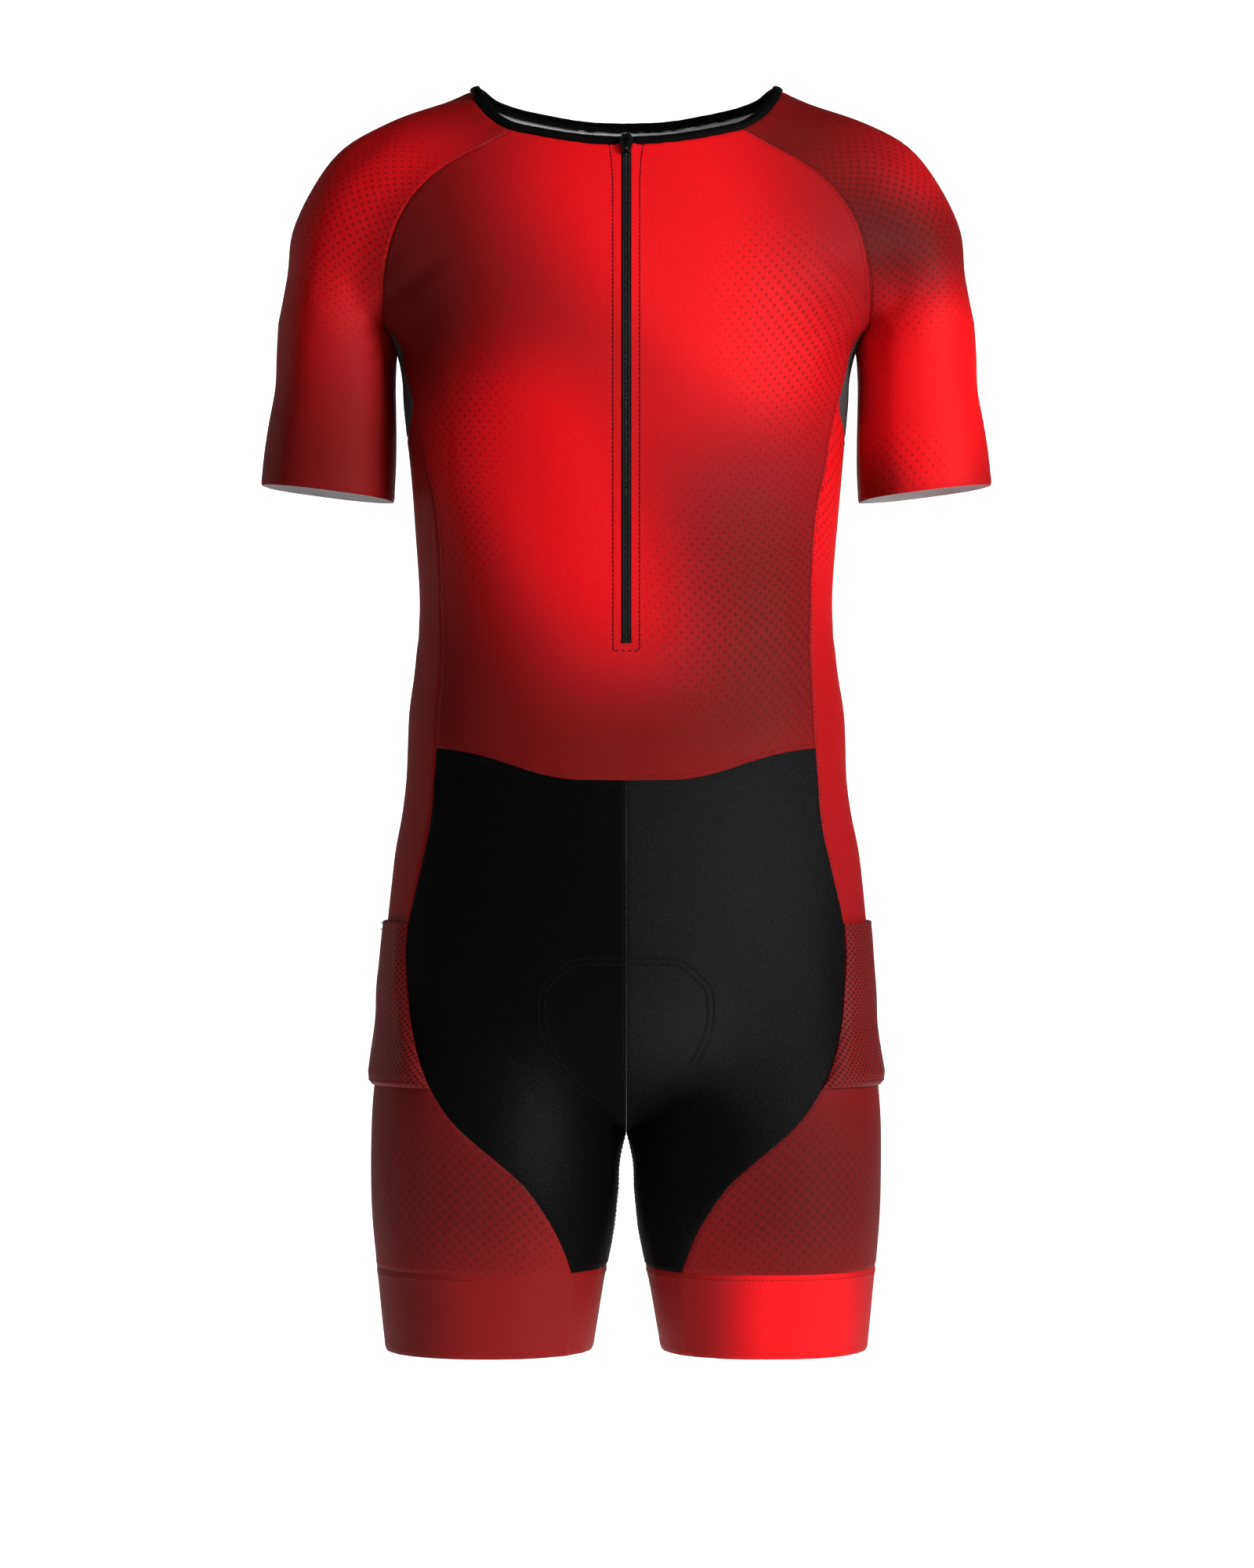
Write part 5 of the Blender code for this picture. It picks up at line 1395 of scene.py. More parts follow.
def front_relief(points, edge):
    """The panel's relief, with a raised fold where the cloth is turned in along the zip."""
    beside = np.abs(points[:, 0]) - ZIP_HALF_GAP
    along_zip = 1 / (1 + np.exp((ZIP_END - 0.0010 - points[:, 2]) / 0.0006))
    lip = np.exp(-(((beside - ZIP_LIP_PLACE) / ZIP_LIP_WIDTH) ** 2)) * along_zip
    near_zip = np.exp(-((beside / ZIP_CALM) ** 2)) * along_zip
    return cloth_relief(points, edge + 0.006 * near_zip) + ZIP_LIP * lip


def in_slot(r, c):
    """Whether a cell of the front lies in the zip's slot."""
    return (r < slot_end) & (c >= slot_left) & (c < slot_right)


for column_of_slot, step in ((slot_left, ZIP_LAP), (slot_right, -ZIP_LAP)):
    front_fine[: slot_end + 1, column_of_slot, 0] += step
front_fine[slot_end, slot_left : slot_right + 1, 2] += ZIP_LAP
front_cloth, [front_face] = sew("front_cloth", [front_fine], CLOTH_WALL, (red_front, inside),
                                [front_fine.shape[1] // 2], relief=front_relief, skips=[in_slot])
declare(front_cloth, "front_panel", [front_fine])
back_fine = finer(back, fine_places(len(back) - 1), fine_places(BACK_CELLS), breaks)
back_cloth, [back_face] = sew("back_cloth", [back_fine], CLOTH_WALL, (red_back, inside),
                              [back_fine.shape[1] // 2])
declare(back_cloth, "back_panel", [back_fine])

# %% Sleeves, underarm mesh, side panels and shorts, left and right
def sleeve_fine():
    """The cap, and the tube that starts at the cap's last row."""
    over = fine_places(SLEEVE_CELLS)
    cap_fine = finer(cap, fine_places(RAGLAN_CELLS, True, False), over)
    columns = tube.shape[1] - 1
    places = np.unique(np.concatenate([over, np.linspace(SLEEVE_CELLS, columns, (
        columns - SLEEVE_CELLS) * FINE + 1)]).round(6))
    lengths = fine_places(SLEEVE_LENGTH_CELLS, False, True)
    rows = along(tube, lengths)
    smooth = crosswise(rows, places, closed=True)
    broken = crosswise(rows, places, (SLEEVE_CELLS,))
    near = np.clip(1 - lengths, 0, 1)[:, None, None]
    tube_fine = smooth + (broken - smooth) * near
    tube_fine[0, : len(over)] = cap_fine[-1]
    tube_fine[:, -1] = tube_fine[:, 0]
    return cap_fine, tube_fine


def both(name, node, slot, nets, wall, finishes, middles, **extra):
    """The left piece, and the right one as its mirror image. Returns the left one's outer nets."""
    faces = []
    for side_name in ("left", "right"):
        own = nets if side_name == "left" else [mirrored(net) for net in nets]
        piece, made = sew(name + "_" + side_name, own, wall, finishes, middles, **extra)
        faces.append(made)
        declare(piece, node + "_" + side_name, own)
    return faces[0]


cap_fine, tube_fine = sleeve_fine()
sleeve_faces = both("sleeve_cloth", "sleeve", "red_knit", [cap_fine, tube_fine], CLOTH_WALL,
                    (red_sleeve, inside), [cap_fine.shape[1] // 2] * 2)
side_across = fine_places(SIDE_PANEL_CELLS)
gusset_fine = finer(gusset, fine_places(GUSSET_CELLS), side_across)
both("underarm_cloth", "underarm_mesh", "black_mesh", [gusset_fine], CLOTH_WALL,
     (underarm_mesh, underarm_mesh), [gusset_fine.shape[1] // 2])
side_fine = finer(side, fine_places(len(side) - 1), side_across, (SIDE_CELLS,))
side_faces = both("side_cloth", "side_panel", "deep_red_knit", [side_fine], CLOTH_WALL,
                  (red_side, inside), [side_fine.shape[1] // 2])
shorts_down = fine_places(len(shorts_front) - 1)
shorts_fine = finer(shorts_front, shorts_down, fine_places(shorts_front.shape[1] - 1),
                    (CENTRE_CELLS,))
shorts_faces = both("shorts_front_cloth", "shorts_front", "black_knit", [shorts_fine], CLOTH_WALL,
                    (black_front, inside), [shorts_fine.shape[1] // 2])
seat_fine = finer(seat, shorts_down, fine_places(seat.shape[1] - 1), (CENTRE_CELLS,))
seat_faces = both("seat_cloth", "shorts_seat", "black_knit", [seat_fine], CLOTH_WALL,
                  (black_seat, inside), [seat_fine.shape[1] // 2])

# %% Grip bands
side_end, seat_end = SIDE_PANEL_CELLS, SIDE_PANEL_CELLS + seat.shape[1] - 1
band_places = np.unique(np.concatenate([
    side_across, side_end + fine_places(seat.shape[1] - 1),
    seat_end + (shorts_front.shape[1] - 1) - fine_places(shorts_front.shape[1] - 1),
]).round(6))
band_down = fine_places(BAND_CELLS, fine=8)


def band_fine_net():
    """Round at the hem, and curved like the three panels above it at the seam."""
    rows = along(band, band_down)
    smooth = crosswise(rows, band_places, closed=True)
    broken = crosswise(rows, band_places, (side_end, seat_end))
    near = np.clip(1 - 2 * band_down, 0, 1)[:, None, None]
    made = smooth + (broken - smooth) * near
    made[:, -1] = made[:, 0]
    return made


band_fine = band_fine_net()
band_faces = both("leg_band_cloth", "leg_band", "band_cloth", [band_fine], BAND_WALL,
                  (red_band, inside), [band_fine.shape[1] // 2])

# %% Thigh pockets
# how far the mesh stands off the thigh, by share of the way down
POCKET_STAND = ((0.0, 0.0028), (0.3, 0.0030), (0.7, 0.0044), (0.93, 0.0054), (0.975, 0.0040),
                (1.0, 0.0014))
POCKET_SIDE = 0.010        # within this of the side seams it comes down to the panel
POCKET_CLEARANCE = 0.0003  # between mesh and panel at those seams
POCKET_EDGE = 0.0003       # how much thicker the mesh is where it is turned in
POCKET_EDGE_WIDTH = 0.0022
POCKET_RIPPLE = 0.0002
POCKET_RIPPLE_SIZE = 0.022


def pocket_net():
    """The mesh pocket over the side panel, and how far each of its points stands off it."""
    top, low, _ = SHORTS_CELLS
    first = SIDE_CELLS + top
    places = first + fine_places(low, fine=8)
    net = finer(side, places, side_across, (SIDE_CELLS,))
    share = (places - first) / low
    stand = np.interp(share, *np.array(POCKET_STAND).T)[:, None]
    run = np.linalg.norm(np.diff(net, axis=1), axis=2).cumsum(axis=1)
    run = np.pad(run, ((0, 0), (1, 0)))
    from_seam = np.minimum(run, run[:, -1:] - run)
    swell = np.sin(0.5 * np.pi * np.clip(from_seam / POCKET_SIDE, 0, 1))
    return net, POCKET_CLEARANCE + stand * swell


def pocket_relief(points, edge):
    """The mesh follows the thigh with its own small ripples, and thickens at its edge."""
    hem = POCKET_EDGE * np.exp(-((edge / POCKET_EDGE_WIDTH) ** 2))
    small = POCKET_RIPPLE * (1 + ripple(points, POCKET_RIPPLE_SIZE, 23))
    return hem + fold_relief(points) + slack(points) + small


pocket_fine, pocket_lift = pocket_net()
pocket_faces = both("pocket_cloth", "pocket", "pocket_mesh", [pocket_fine], MESH_WALL,
                    (pocket_mesh, pocket_mesh), [pocket_fine.shape[1] // 2],
                    lift=pocket_lift, relief=pocket_relief)

# %% [markdown]
# Neck binding
#
# The neck is bound with a folded strip of black knit, about 7 mm wide. It runs from one side of
# the zip round the back of the neck to the other. Its section is rounded, full at the fold and
# flat where the needle holds it.

# %% Binding
BINDING_WALL = 0.0024
BINDING_HUB = (0.0, 0.005, 0.060)           # it turns up and in towards this point
BINDING_ROWS = (-0.0005, 0.0034, 0.0070)    # from the panels' edge up to the fold
BINDING_SWELL = 0.0013     # how far its middle stands out
BINDING_ROLL = 0.0032      # width of the rounding at both edges
BINDING_RIPPLE = 0.00012
BINDING_RIPPLE_SIZE = 0.009


def binding_net():
    """Three lines round the neck, and the columns where its pieces meet."""
    left = front[0][HALF_FRONT_CELLS + 1 :]
    over = seams["neck_sleeve"]
    edge = np.vstack([left, over[1:], back[0][::-1][1:], mirrored(over)[::-1][1:],
                      front[0][: HALF_FRONT_CELLS + 1][1:]])
    normals = unit(gradient(edge))
    ahead = np.gradient(edge, axis=0)
    ahead[0], ahead[-1] = edge[1] - edge[0], edge[-1] - edge[-2]
    inward = unit(np.cross(ahead, normals))
    inward *= np.sign(((np.array(BINDING_HUB) - edge) * inward).sum(axis=1))[:, None]
    rows = [onto_form(edge + inward * step) for step in BINDING_ROWS]
    corners = np.cumsum([HALF_FRONT_CELLS, SLEEVE_CELLS, BACK_CELLS, SLEEVE_CELLS])
    return np.stack(rows), tuple(int(c) for c in corners)


def binding_relief(points, edge):
    """Full in the middle, rolled down at both edges, and drawn in a little by the stitches."""
    full = BINDING_SWELL * np.clip(edge / BINDING_ROLL, 0, 1) ** 0.5
    return full + BINDING_RIPPLE * ripple(points, BINDING_RIPPLE_SIZE, 31)


binding, corners = binding_net()
binding_down = np.linspace(0, 2, 13)
binding_across = np.linspace(0, binding.shape[1] - 1, (binding.shape[1] - 1) * 4 + 1)
binding_fine = finer(binding, binding_down, binding_across, (), corners)
binding_cloth, [binding_face] = sew("neck_binding_cloth", [binding_fine], BINDING_WALL,
                                    (black_binding, black_binding), [0], relief=binding_relief)
declare(binding_cloth, "neck_binding", [binding_fine], fold=BINDING_WALL)

# %% [markdown]
# Stitches
#
# Every seam is held by rows of thread. One stitch is a small spindle that dips into the cloth at
# both ends. A row sets one after another along a line of the fine net, so it follows the cloth.

# %% Rows of stitches
STITCH_LENGTH = 0.0026
STITCH_GAP = 0.0007
STITCH_WIDTH = 0.00050
STITCH_HEIGHT = 0.00032
STITCH_FLATNESS = 0.8      # height of its section as a share of its width
STITCH_SINK = 0.55         # rings with a smaller share of the width than this dip into the cloth
# rings of the spindle: place along the stitch, and share of its full width
STITCH_RINGS = ((-0.5, 0.25), (-0.28, 0.9), (0.0, 1.0), (0.28, 0.9), (0.5, 0.25))
RING_CORNERS = 4
STITCH_POINTS = RING_CORNERS * len(STITCH_RINGS)


def stitch_row(line, normals, length=STITCH_LENGTH, gap=STITCH_GAP, width=STITCH_WIDTH):
    """Corners and faces of the stitches along one line."""
    run = run_of(line)
    count = int(run[-1] / (length + gap))
    if count < 1:
        return np.zeros((0, 3)), np.zeros((0, 4), int)
    middle = (np.arange(count) + 0.5) * (run[-1] / count)
    out = unit(at_lengths(normals, run, middle))
    ahead = unit(at_lengths(line, run, middle + 0.4 * length)
                 - at_lengths(line, run, middle - 0.4 * length))
    beside = np.cross(ahead, out)
    rings = []
    for place, share in STITCH_RINGS:
        centre = at_lengths(line, run, middle + place * length)
        centre += out * (STITCH_HEIGHT * (share - STITCH_SINK))
        for corner in range(RING_CORNERS):
            angle = corner / RING_CORNERS * TURN
            rings.append(centre + (width / 2) * share * (
                beside * math.cos(angle) + out * math.sin(angle) * STITCH_FLATNESS))
    points = np.stack(rings, axis=1)
    faces = []
    for first in range(0, STITCH_POINTS - RING_CORNERS, RING_CORNERS):
        for corner in range(RING_CORNERS):
            a, b = first + corner, first + (corner + 1) % RING_CORNERS
            faces.append((a, b, b + RING_CORNERS, a + RING_CORNERS))
    faces.append(tuple(range(RING_CORNERS))[::-1])
    faces.append(tuple(range(STITCH_POINTS - RING_CORNERS, STITCH_POINTS)))
    faces = np.array(faces)[None] + STITCH_POINTS * np.arange(count)[:, None, None]
    return points.reshape(-1, 3), faces.reshape(-1, 4)


def sew_rows(name, rows, thread, **extra):
    """One object with all the stitch rows of a seam. Each row is a line and its normals."""
    points, faces, first = [], [], 0
    for line, normals in rows:
        p, f = stitch_row(np.asarray(line), np.asarray(normals), **extra)
        points.append(p)
        faces.append(f + first)
        first += len(p)
    mesh = bpy.data.meshes.new(name)
    mesh.from_pydata(np.vstack(points).tolist(), [], np.vstack(faces).tolist())
    mesh.materials.append(thread)
    mesh.shade_smooth()
    piece = put_in_scene(name, mesh)
    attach(piece, "suit")
    print(name, first // STITCH_POINTS, "stitches")
    return piece


print("one stitch has", STITCH_POINTS, "points")

# %% Thread, and the rows beside the seams
STRAND_SHADE = (0.006, 0.004, 0.004, 1.0)


def thread_finish(name, colour):
    """Twisted thread, darker between its strands."""
    material, shader, place, _ = finish(name, 0.65, specular=0.15)
    twist = place.node("TexNoise", Vector=place, Scale=2600.0, Detail=1.0)
    paint(shader, (twist.ramp(0.3, 0.7) * 0.5).mix(colour, STRAND_SHADE))
    return material


red_thread = thread_finish("red_thread", (0.24, 0.006, 0.008, 1.0))
black_thread = thread_finish("black_thread", (0.0050, 0.0040, 0.0042, 1.0))


def column(face, index, first=0, last=None):
    """One line down a piece's outer face, with its normals."""
    return face[0][first:last, index], face[1][first:last, index]


def row(face, index, first=0, last=None):
    """One line across it."""
    return face[0][index, first:last], face[1][index, first:last]


def flipped(line):
    """The same line on the other side."""
    return mirrored(line[0]), mirrored(line[1])


SEAM_LINE = 2              # the second extra line, about 3 mm from the edge
side_seam_rows = []
for face in (front_face, back_face):
    for index in (SEAM_LINE, -1 - SEAM_LINE):
        side_seam_rows.append(column(face, index, 3, -3))
for index in (SEAM_LINE, -1 - SEAM_LINE):
    line = column(side_faces[0], index, 3, -3)
    side_seam_rows += [line, flipped(line)]
sew_rows("body_stitching", side_seam_rows, red_thread)
cap_rows = [column(sleeve_faces[0], index, 3) for index in (SEAM_LINE, -1 - SEAM_LINE)]
sew_rows("sleeve_stitching", cap_rows + [flipped(line) for line in cap_rows], red_thread)
waist_rows = [row(front_face, -1 - SEAM_LINE, 3, -3), row(back_face, -1 - SEAM_LINE, 3, -3)]
sew_rows("waist_stitching", waist_rows, red_thread)
band_top_rows = [row(band_faces[0], SEAM_LINE)]
sew_rows("band_stitching", band_top_rows + [flipped(line) for line in band_top_rows], red_thread)
black_rows = []
for face in (shorts_faces[0], seat_faces[0]):
    for line in (column(face, SEAM_LINE, 3, -3), column(face, -1 - SEAM_LINE, 3, -3),
                 row(face, SEAM_LINE, 3, -3), row(face, -1 - SEAM_LINE, 3, -3)):
        black_rows += [line, flipped(line)]
sew_rows("shorts_stitching", black_rows, black_thread)
sew_rows("neck_stitching", [row(binding_face, 3)], black_thread)

# %% [markdown]
# Lines of stitches away from the seams
#
# Three more lines show in the photo: the square of stitches round the zip, the double hem of each
# pocket's mouth, and the double band that holds a pad inside the front of the shorts. The zip's and
# the pad's lines are drawn on the elevation and cast onto the cloth; the pocket's follow rows of its
# own net.

# %% Zip, pocket and pad stitching
# side distance and height of the line that holds the zip's tape
ZIP_STITCH = ((0.0126, -0.0372), (0.0104, -0.0540), (0.0098, -0.0900), (0.0097, -0.2500),
              (0.0096, -0.4060), (0.0000, -0.4062))
# outer line of the pad's stitch band
PAD_LINE = ((0.0000, -0.6293), (0.0200, -0.6293), (0.0385, -0.6304), (0.0536, -0.6412),
            (0.0627, -0.6527), (0.0644, -0.6703), (0.0616, -0.6857), (0.0530, -0.7051),
            (0.0380, -0.7225), (0.0285, -0.7325), (0.0108, -0.7456))
PAD_BAND = 0.0055          # width of that band
PAD_TWIN = 0.0009          # between the two lines of a pair
PAD_START = 0.0012         # the lines stop this far from the centre seam
CLOTH_GRIP = 0.00018       # how far thread lies above the cloth it is sewn to


def on_cloth(drawn):
    """A drawn line laid on the front of the cloth, with its normals."""
    line = seen(drawn)
    normals = unit(gradient(line))
    far = np.full(len(line), 1.0)
    return line + normals * (cloth_relief(line, far) + CLOTH_GRIP)[:, None], normals


def offset_line(drawn, distance):
    """The same drawn line, a distance to its inner side."""
    ahead = unit(np.gradient(drawn, axis=0))
    return drawn + np.stack([ahead[:, 1], -ahead[:, 0]], -1) * distance


zip_line = smooth_curve(ZIP_STITCH[:5], 220)
corner_line = spaced(np.array(ZIP_STITCH[4:]), 8)
flip_flat = np.array([-1.0, 1.0])
zip_rows = [on_cloth(zip_line), on_cloth(zip_line * flip_flat), on_cloth(corner_line),
            on_cloth(corner_line * flip_flat)]
sew_rows("zip_stitching", zip_rows, black_thread, length=0.0029, gap=0.0003, width=0.00075)
pad_line = smooth_curve(PAD_LINE, 200)
pad_line = pad_line[pad_line[:, 0] > PAD_START]
pad_rows = []
for distance in (0.0, PAD_TWIN, PAD_BAND, PAD_BAND - PAD_TWIN):
    line = offset_line(pad_line, distance)
    line = line[line[:, 0] > PAD_START]
    pad_rows += [on_cloth(line), on_cloth(line * flip_flat)]
sew_rows("pad_stitching", pad_rows, black_thread, length=0.0020, gap=0.0006, width=0.0005)
hem_rows = [row(pocket_faces[0], index, 2, -2) for index in (1, 4, -3)]
sew_rows("pocket_stitching", hem_rows + [flipped(line) for line in hem_rows], red_thread)

# %% [markdown]
# Zip
#
# A nylon coil zip: two woven tapes, a row of coil turns on each that mesh in the middle, a slider
# with its bail and pull tab, and a stop at the lower end. The tapes, slider, tab and stop are the
# solids themselves. Only the coil is made again, turn by turn.

# %% Coil
TOOTH_PITCH = 0.00165
TOOTH_REACH = 0.0026
TOOTH_SIZE = (0.0030, 0.00105, 0.0011)     # across, along the zip, out of the cloth
TOOTH_SHIFT = 0.00105      # from the middle of the zip to the middle of a turn
TOOTH_LIFT = 0.42          # of a turn's height above the tape
COIL_TOP = -0.0455         # height of the first turn
COIL_TAIL = 0.0045         # from the last turn to the lower end of the zip
RAIL_PLACE = 0.0021        # side distance of the cord that the turns are sewn down with
RAIL_RADIUS = 0.0004
RAIL_LIFT = 0.0006
RAIL_CORNERS = 6


def coil_turns():
    """One rounded block for each turn, from the left and the right by turns."""
    low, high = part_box("zip_coil")
    heights = np.linspace(COIL_TOP, ZIP_END + COIL_TAIL, 900)
    line = seen(np.stack([np.zeros_like(heights), heights], -1))
    normals = unit(gradient(line))
    run = run_of(line)
    count = int(run[-1] / TOOTH_PITCH * 2)
    build = bmesh.new()
    for k in range(count):
        where = (k + 0.5) * run[-1] / count
        place = at_lengths(line, run, where)
        out = unit(at_lengths(normals, run, where))
        ahead = np.cross([1.0, 0.0, 0.0], out)
        sign = 1 if k % 2 else -1
        turn = Matrix((Vector((1, 0, 0)), Vector(ahead), Vector(out))).transposed().to_4x4()
        across, along_zip, height = TOOTH_SIZE
        centre = Vector(place) + Vector(out) * (height * TOOTH_LIFT)
        centre.x += sign * TOOTH_SHIFT
        size = Matrix.Diagonal((across, along_zip, height, 1.0))
        made = bmesh.ops.create_icosphere(build, subdivisions=1, radius=0.5,
                                          matrix=Matrix.Translation(centre) @ turn @ size)
        for v in made["verts"]:
            v.co.x = min(max(v.co.x, -TOOTH_REACH), TOOTH_REACH)
    for sign in (-1, 1):
        last = None
        for place, out in zip(line[::6], normals[::6]):
            ring = []
            for angle in np.linspace(0, TURN, RAIL_CORNERS, endpoint=False):
                beside = sign * RAIL_PLACE + RAIL_RADIUS * math.cos(angle)
                above = RAIL_LIFT + RAIL_RADIUS * math.sin(angle)
                ring.append(build.verts.new(Vector(place) + Vector((beside, 0, 0))
                                            + Vector(out) * above))
            if last:
                for i in range(RAIL_CORNERS):
                    j = (i + 1) % RAIL_CORNERS
                    build.faces.new((last[i], last[j], ring[j], ring[i]))
            else:
                build.faces.new(ring[::-1])
            last = ring
        build.faces.new(last)
    mesh = bpy.data.meshes.new("zip_coil_turns")
    bmesh.ops.recalc_face_normals(build, faces=build.faces)
    build.to_mesh(mesh)
    build.free()
    mesh.shade_smooth()
    print(count, "turns between", round(low.z, 4), "and", round(high.z, 4))
    return put_in_scene("zip_coil_turns", mesh)


coil = coil_turns()

# %% Nylon, lacquer and tape
NYLON_BLACK = (0.007, 0.007, 0.0075, 1.0)
NYLON_SHINE = (0.016, 0.016, 0.0165, 1.0)
LACQUER_BLACK = (0.008, 0.008, 0.0085, 1.0)
WORN_METAL = (0.10, 0.10, 0.11, 1.0)
BRIGHT_METAL = (0.30, 0.30, 0.31, 1.0)
TAPE_BLACK = (0.004, 0.004, 0.0043, 1.0)
TAPE_SHINE = (0.013, 0.013, 0.0135, 1.0)


def nylon(name):
    """Dull black nylon."""
    material, shader, place, _ = finish(name, 0.55, specular=0.25)
    grain = place.node("TexNoise", Vector=place, Scale=700.0, Detail=2.0)
    paint(shader, grain.ramp(0.3, 0.7).mix(NYLON_BLACK, NYLON_SHINE))
    return material


def lacquer(name, colour, roughness):
    """Lacquered metal with small worn spots."""
    material, shader, place, _ = finish(name, roughness, metallic=0.75, coat=0.3)
    wear = place.node("TexNoise", Vector=place, Scale=900.0, Detail=4.0)
    paint(shader, (wear.ramp(0.62, 0.72) * 0.2).mix(colour, WORN_METAL))
    emboss(shader, wear, 0.00004, 0.4)
    return material


def bright_tab(name):
    """Black lacquer that is worn to bright metal at the tab's lower end."""
    material, shader, place, _ = finish(name, 0.3, metallic=0.9)
    height = parts(place)[2]
    low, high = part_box("zip_pull_tab")
    share = (height - low.z) * (1 / (high.z - low.z))
    wear = place.node("TexNoise", Vector=place, Scale=1200.0, Detail=3.0)
    tip = (1 - share.ramp(0.02, 0.20)) * 0.6 + wear.ramp(0.66, 0.74) * 0.1
    paint(shader, tip.ramp(0.0, 1.0).mix(LACQUER_BLACK, BRIGHT_METAL))
    emboss(shader, wear, 0.00003, 0.4)
    return material


TWILL_PITCH = 0.0009


def woven_tape(name):
    """Black tape in a fine twill."""
    material, shader, place, _ = finish(name, 0.7, specular=0.15)
    x, y, z = parts(place)
    twill = ((x + z) * (TURN / TWILL_PITCH)).sin() * ((x - z) * (TURN / TWILL_PITCH)).sin()
    paint(shader, twill.ramp(-0.5, 0.8).mix(TAPE_BLACK, TAPE_SHINE))
    emboss(shader, twill, 0.00012, 0.7)
    return material


coil.data.materials.append(nylon("coil_nylon"))
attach(coil, "suit")
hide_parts("zip_coil")
black_lacquer = lacquer("slider_lacquer", LACQUER_BLACK, 0.40)
for name, material in (("zip_slider", black_lacquer), ("zip_stop", black_lacquer),
                       ("zip_pull_tab", bright_tab("tab_metal")),
                       ("zip_tape_left", woven_tape("tape_weave")),
                       ("zip_tape_right", woven_tape("tape_weave_right"))):
    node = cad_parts[name]
    node.data.materials.clear()
    node.data.materials.append(material)
EDGE_ROUNDING = 0.00022
for name in ("zip_slider", "zip_pull_tab", "zip_stop"):
    round_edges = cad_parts[name].modifiers.new("soft edges", "BEVEL")
    round_edges.width = EDGE_ROUNDING
    round_edges.segments = 2
    round_edges.limit_method = "ANGLE"
    round_edges.harden_normals = False
print("zip finishes:", [m.name for m in (black_lacquer, *coil.data.materials)])

# %% [markdown]
# Studio
#
# A pale sweep of paper, one large soft light from the front right and a weak one from the front. A
# small one above lights the inside of the neck, and a narrow one stands behind on the left. The
# paper behind glows and gives the edges their light rim. The air looks pale to the camera but gives
# the suit very little light, so the folds keep their shade. The camera stands level with the middle
# of the suit, as in the photo.

# %% Floor, lights and camera
FLOOR_HEIGHT = -1.02
FLOOR_FRONT = -1.3         # the paper starts here, so it hides nothing from a camera in front
SWEEP_BACK = 5.0
SWEEP_RADIUS = 0.9
SWEEP_HEIGHT = 3.6
SWEEP_HALF_WIDTH = 4.0
SWEEP_STEPS = 12
PAPER_WHITE = (0.86, 0.86, 0.86, 1.0)
GLOW_HALF_WIDTH = 0.62     # of the glowing stretch of paper, in the middle plane of the suit
GLOW_SPREAD = 0.14         # how much wider it gets with each metre farther back
GLOW_TOP = 1.1
AIR_LIGHT = 0.03           # how strongly the air lights the suit


def paper_sweep():
    """Floor and back wall in one, joined by a wide curve."""
    profile = [(FLOOR_FRONT, 0.0)]
    for step in range(SWEEP_STEPS + 1):
        turn = TURN / 4 * step / SWEEP_STEPS
        profile.append((SWEEP_BACK - SWEEP_RADIUS * (1 - math.sin(turn)),
                        SWEEP_RADIUS * (1 - math.cos(turn))))
    profile.append((SWEEP_BACK, SWEEP_HEIGHT))
    build = bmesh.new()
    edges = [[build.verts.new((x, y, z + FLOOR_HEIGHT)) for y, z in profile]
             for x in (-SWEEP_HALF_WIDTH, SWEEP_HALF_WIDTH)]
    for i in range(len(profile) - 1):
        build.faces.new((edges[0][i], edges[1][i], edges[1][i + 1], edges[0][i + 1]))
    mesh = bpy.data.meshes.new("paper_sweep")
    build.to_mesh(mesh)
    build.free()
    mesh.shade_smooth()
    sweep = put_in_scene("paper_sweep", mesh)
    material, shader, place, _ = finish("pale_paper", 0.9, specular=0.2)
    shader.inputs["Base Color"].default_value = PAPER_WHITE
    shader.inputs["Emission Strength"].default_value = 1.0
    x, y, z = parts(place)
    reach = GLOW_HALF_WIDTH + y * GLOW_SPREAD
    glow = (reach - x.math("ABSOLUTE")).ramp(-0.25, 0.0) * y.ramp(-0.6, -0.3)
    glow = glow * (GLOW_TOP - z).ramp(-0.3, 0.0)
    glow = glow.mix((0.0, 0.0, 0.0, 1.0), (1.0, 1.0, 1.0, 1.0))
    glow.tree.links.new(glow.socket, shader.inputs["Emission Color"])
    sweep.data.materials.append(material)


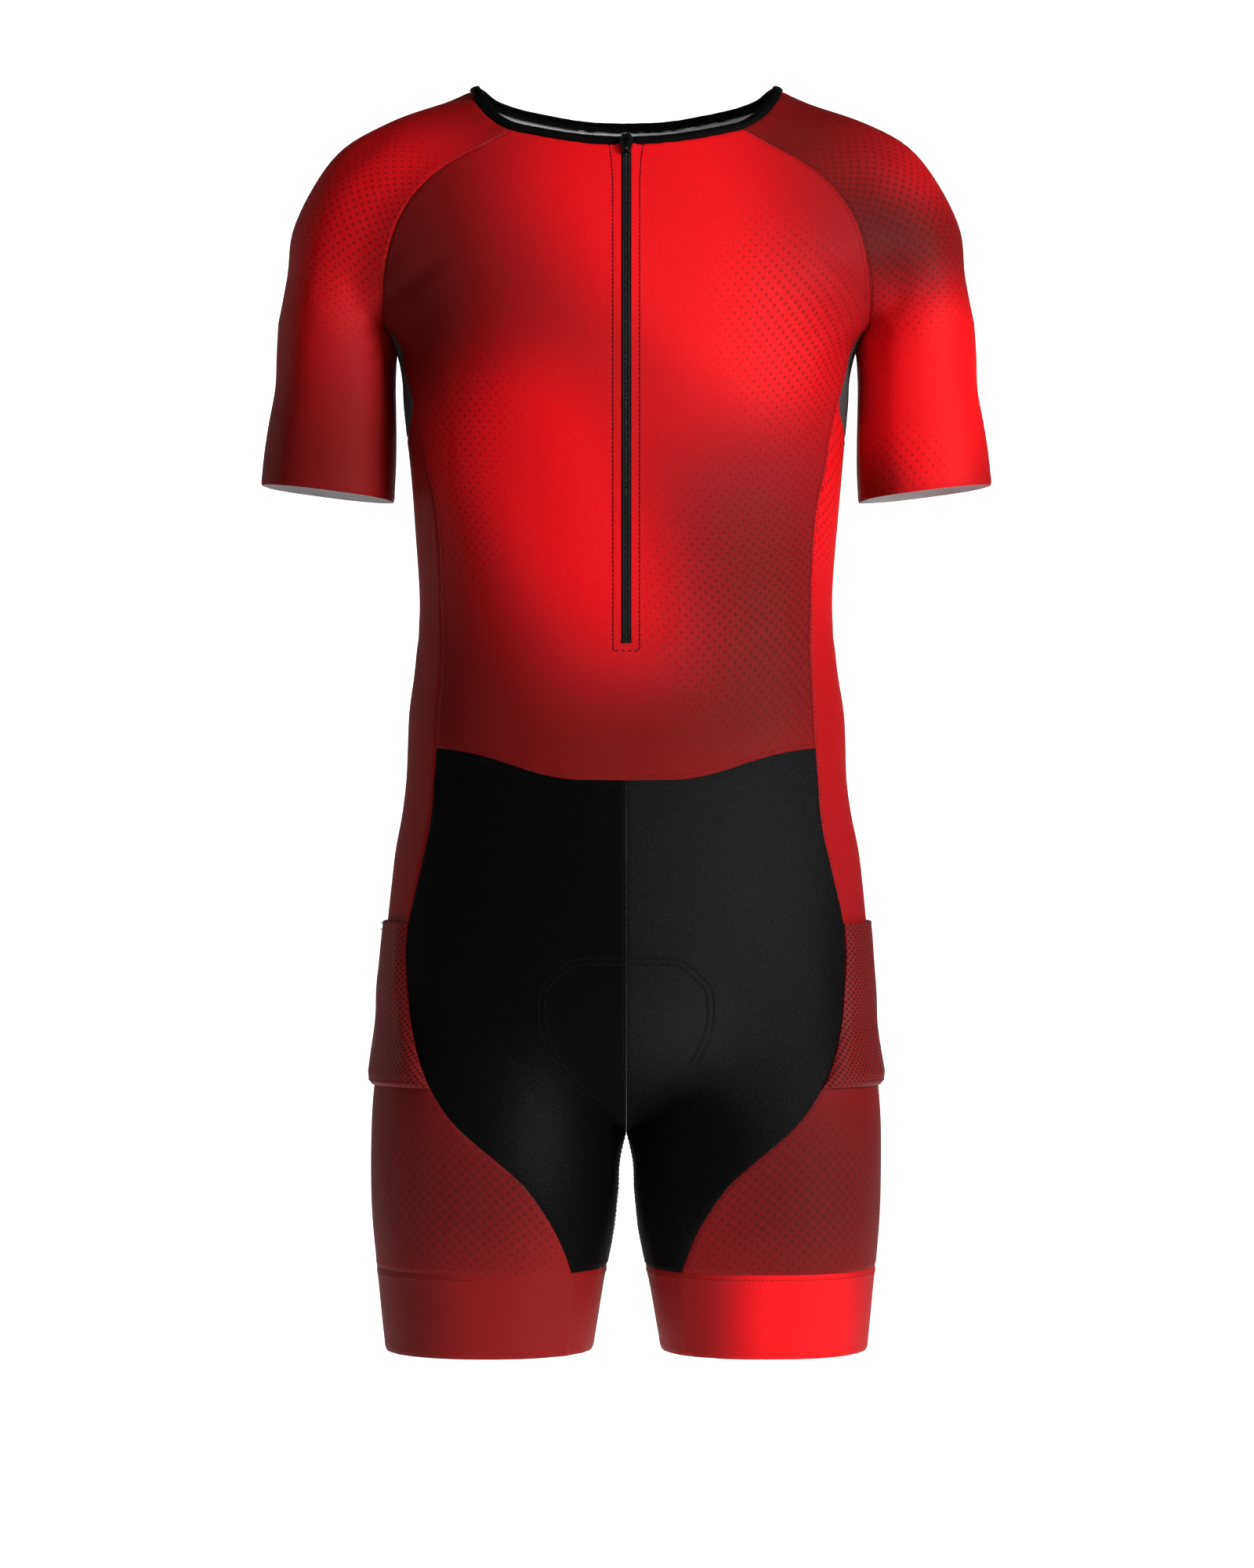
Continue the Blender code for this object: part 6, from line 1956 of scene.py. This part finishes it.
def soft_light(name, place, target, size, power):
    """A white soft box that looks at its target."""
    light = bpy.data.lights.new(name, "AREA")
    light.shape = "RECTANGLE"
    light.size, light.size_y = size
    light.energy = power
    lamp = put_in_scene(name, light)
    lamp.location = place
    lamp.rotation_euler = (Vector(target) - Vector(place)).to_track_quat("-Z", "Y").to_euler()


def studio_air():
    """A world that looks pale to the camera and lights the suit weakly."""
    world = bpy.data.worlds.new("studio")
    world.use_nodes = True
    tree = world.node_tree
    dim_air = tree.nodes["Background"]
    dim_air.inputs["Color"].default_value = (1.0, 1.0, 1.0, 1.0)
    dim_air.inputs["Strength"].default_value = AIR_LIGHT
    pale_air = tree.nodes.new("ShaderNodeBackground")
    pale_air.inputs["Color"].default_value = PAPER_WHITE
    rays = tree.nodes.new("ShaderNodeLightPath")
    air = tree.nodes.new("ShaderNodeMixShader")
    tree.links.new(rays.outputs["Is Camera Ray"], air.inputs[0])
    tree.links.new(dim_air.outputs[0], air.inputs[1])
    tree.links.new(pale_air.outputs[0], air.inputs[2])
    tree.links.new(air.outputs[0], tree.nodes["World Output"].inputs[0])
    bpy.context.scene.world = world


paper_sweep()
soft_light("key_light", (2.5, -2.3, 0.55), (0.02, 0.0, -0.42), (1.0, 1.5), 118.0)
soft_light("fill_light", (-0.6, -3.4, 0.1), (0.0, 0.0, -0.50), (1.0, 1.4), 13.0)
soft_light("neck_light", (0.5, -1.4, 1.8), (0.0, 0.05, -0.04), (0.4, 0.4), 7.0)
soft_light("rim_light_left", (-2.2, 1.5, 0.0), (-0.1, 0.0, -0.45), (0.3, 1.6), 5.0)
studio_air()
bpy.context.scene.view_settings.view_transform = "Standard"

IMAGE_HEIGHT = 1.14        # height of the photo's frame at the suit, in metres
SENSOR_SIZE = 36.0
lens = bpy.data.cameras.new("camera")
lens.sensor_width = SENSOR_SIZE
lens.lens = SENSOR_SIZE * EYE_DISTANCE / IMAGE_HEIGHT
camera = put_in_scene("camera", lens)
camera.location = (0.0005, -EYE_DISTANCE, EYE_HEIGHT)
camera.rotation_euler = (math.pi / 2, 0.0, 0.0)
bpy.context.scene.camera = camera
print("camera lens", round(lens.lens, 1), "mm")
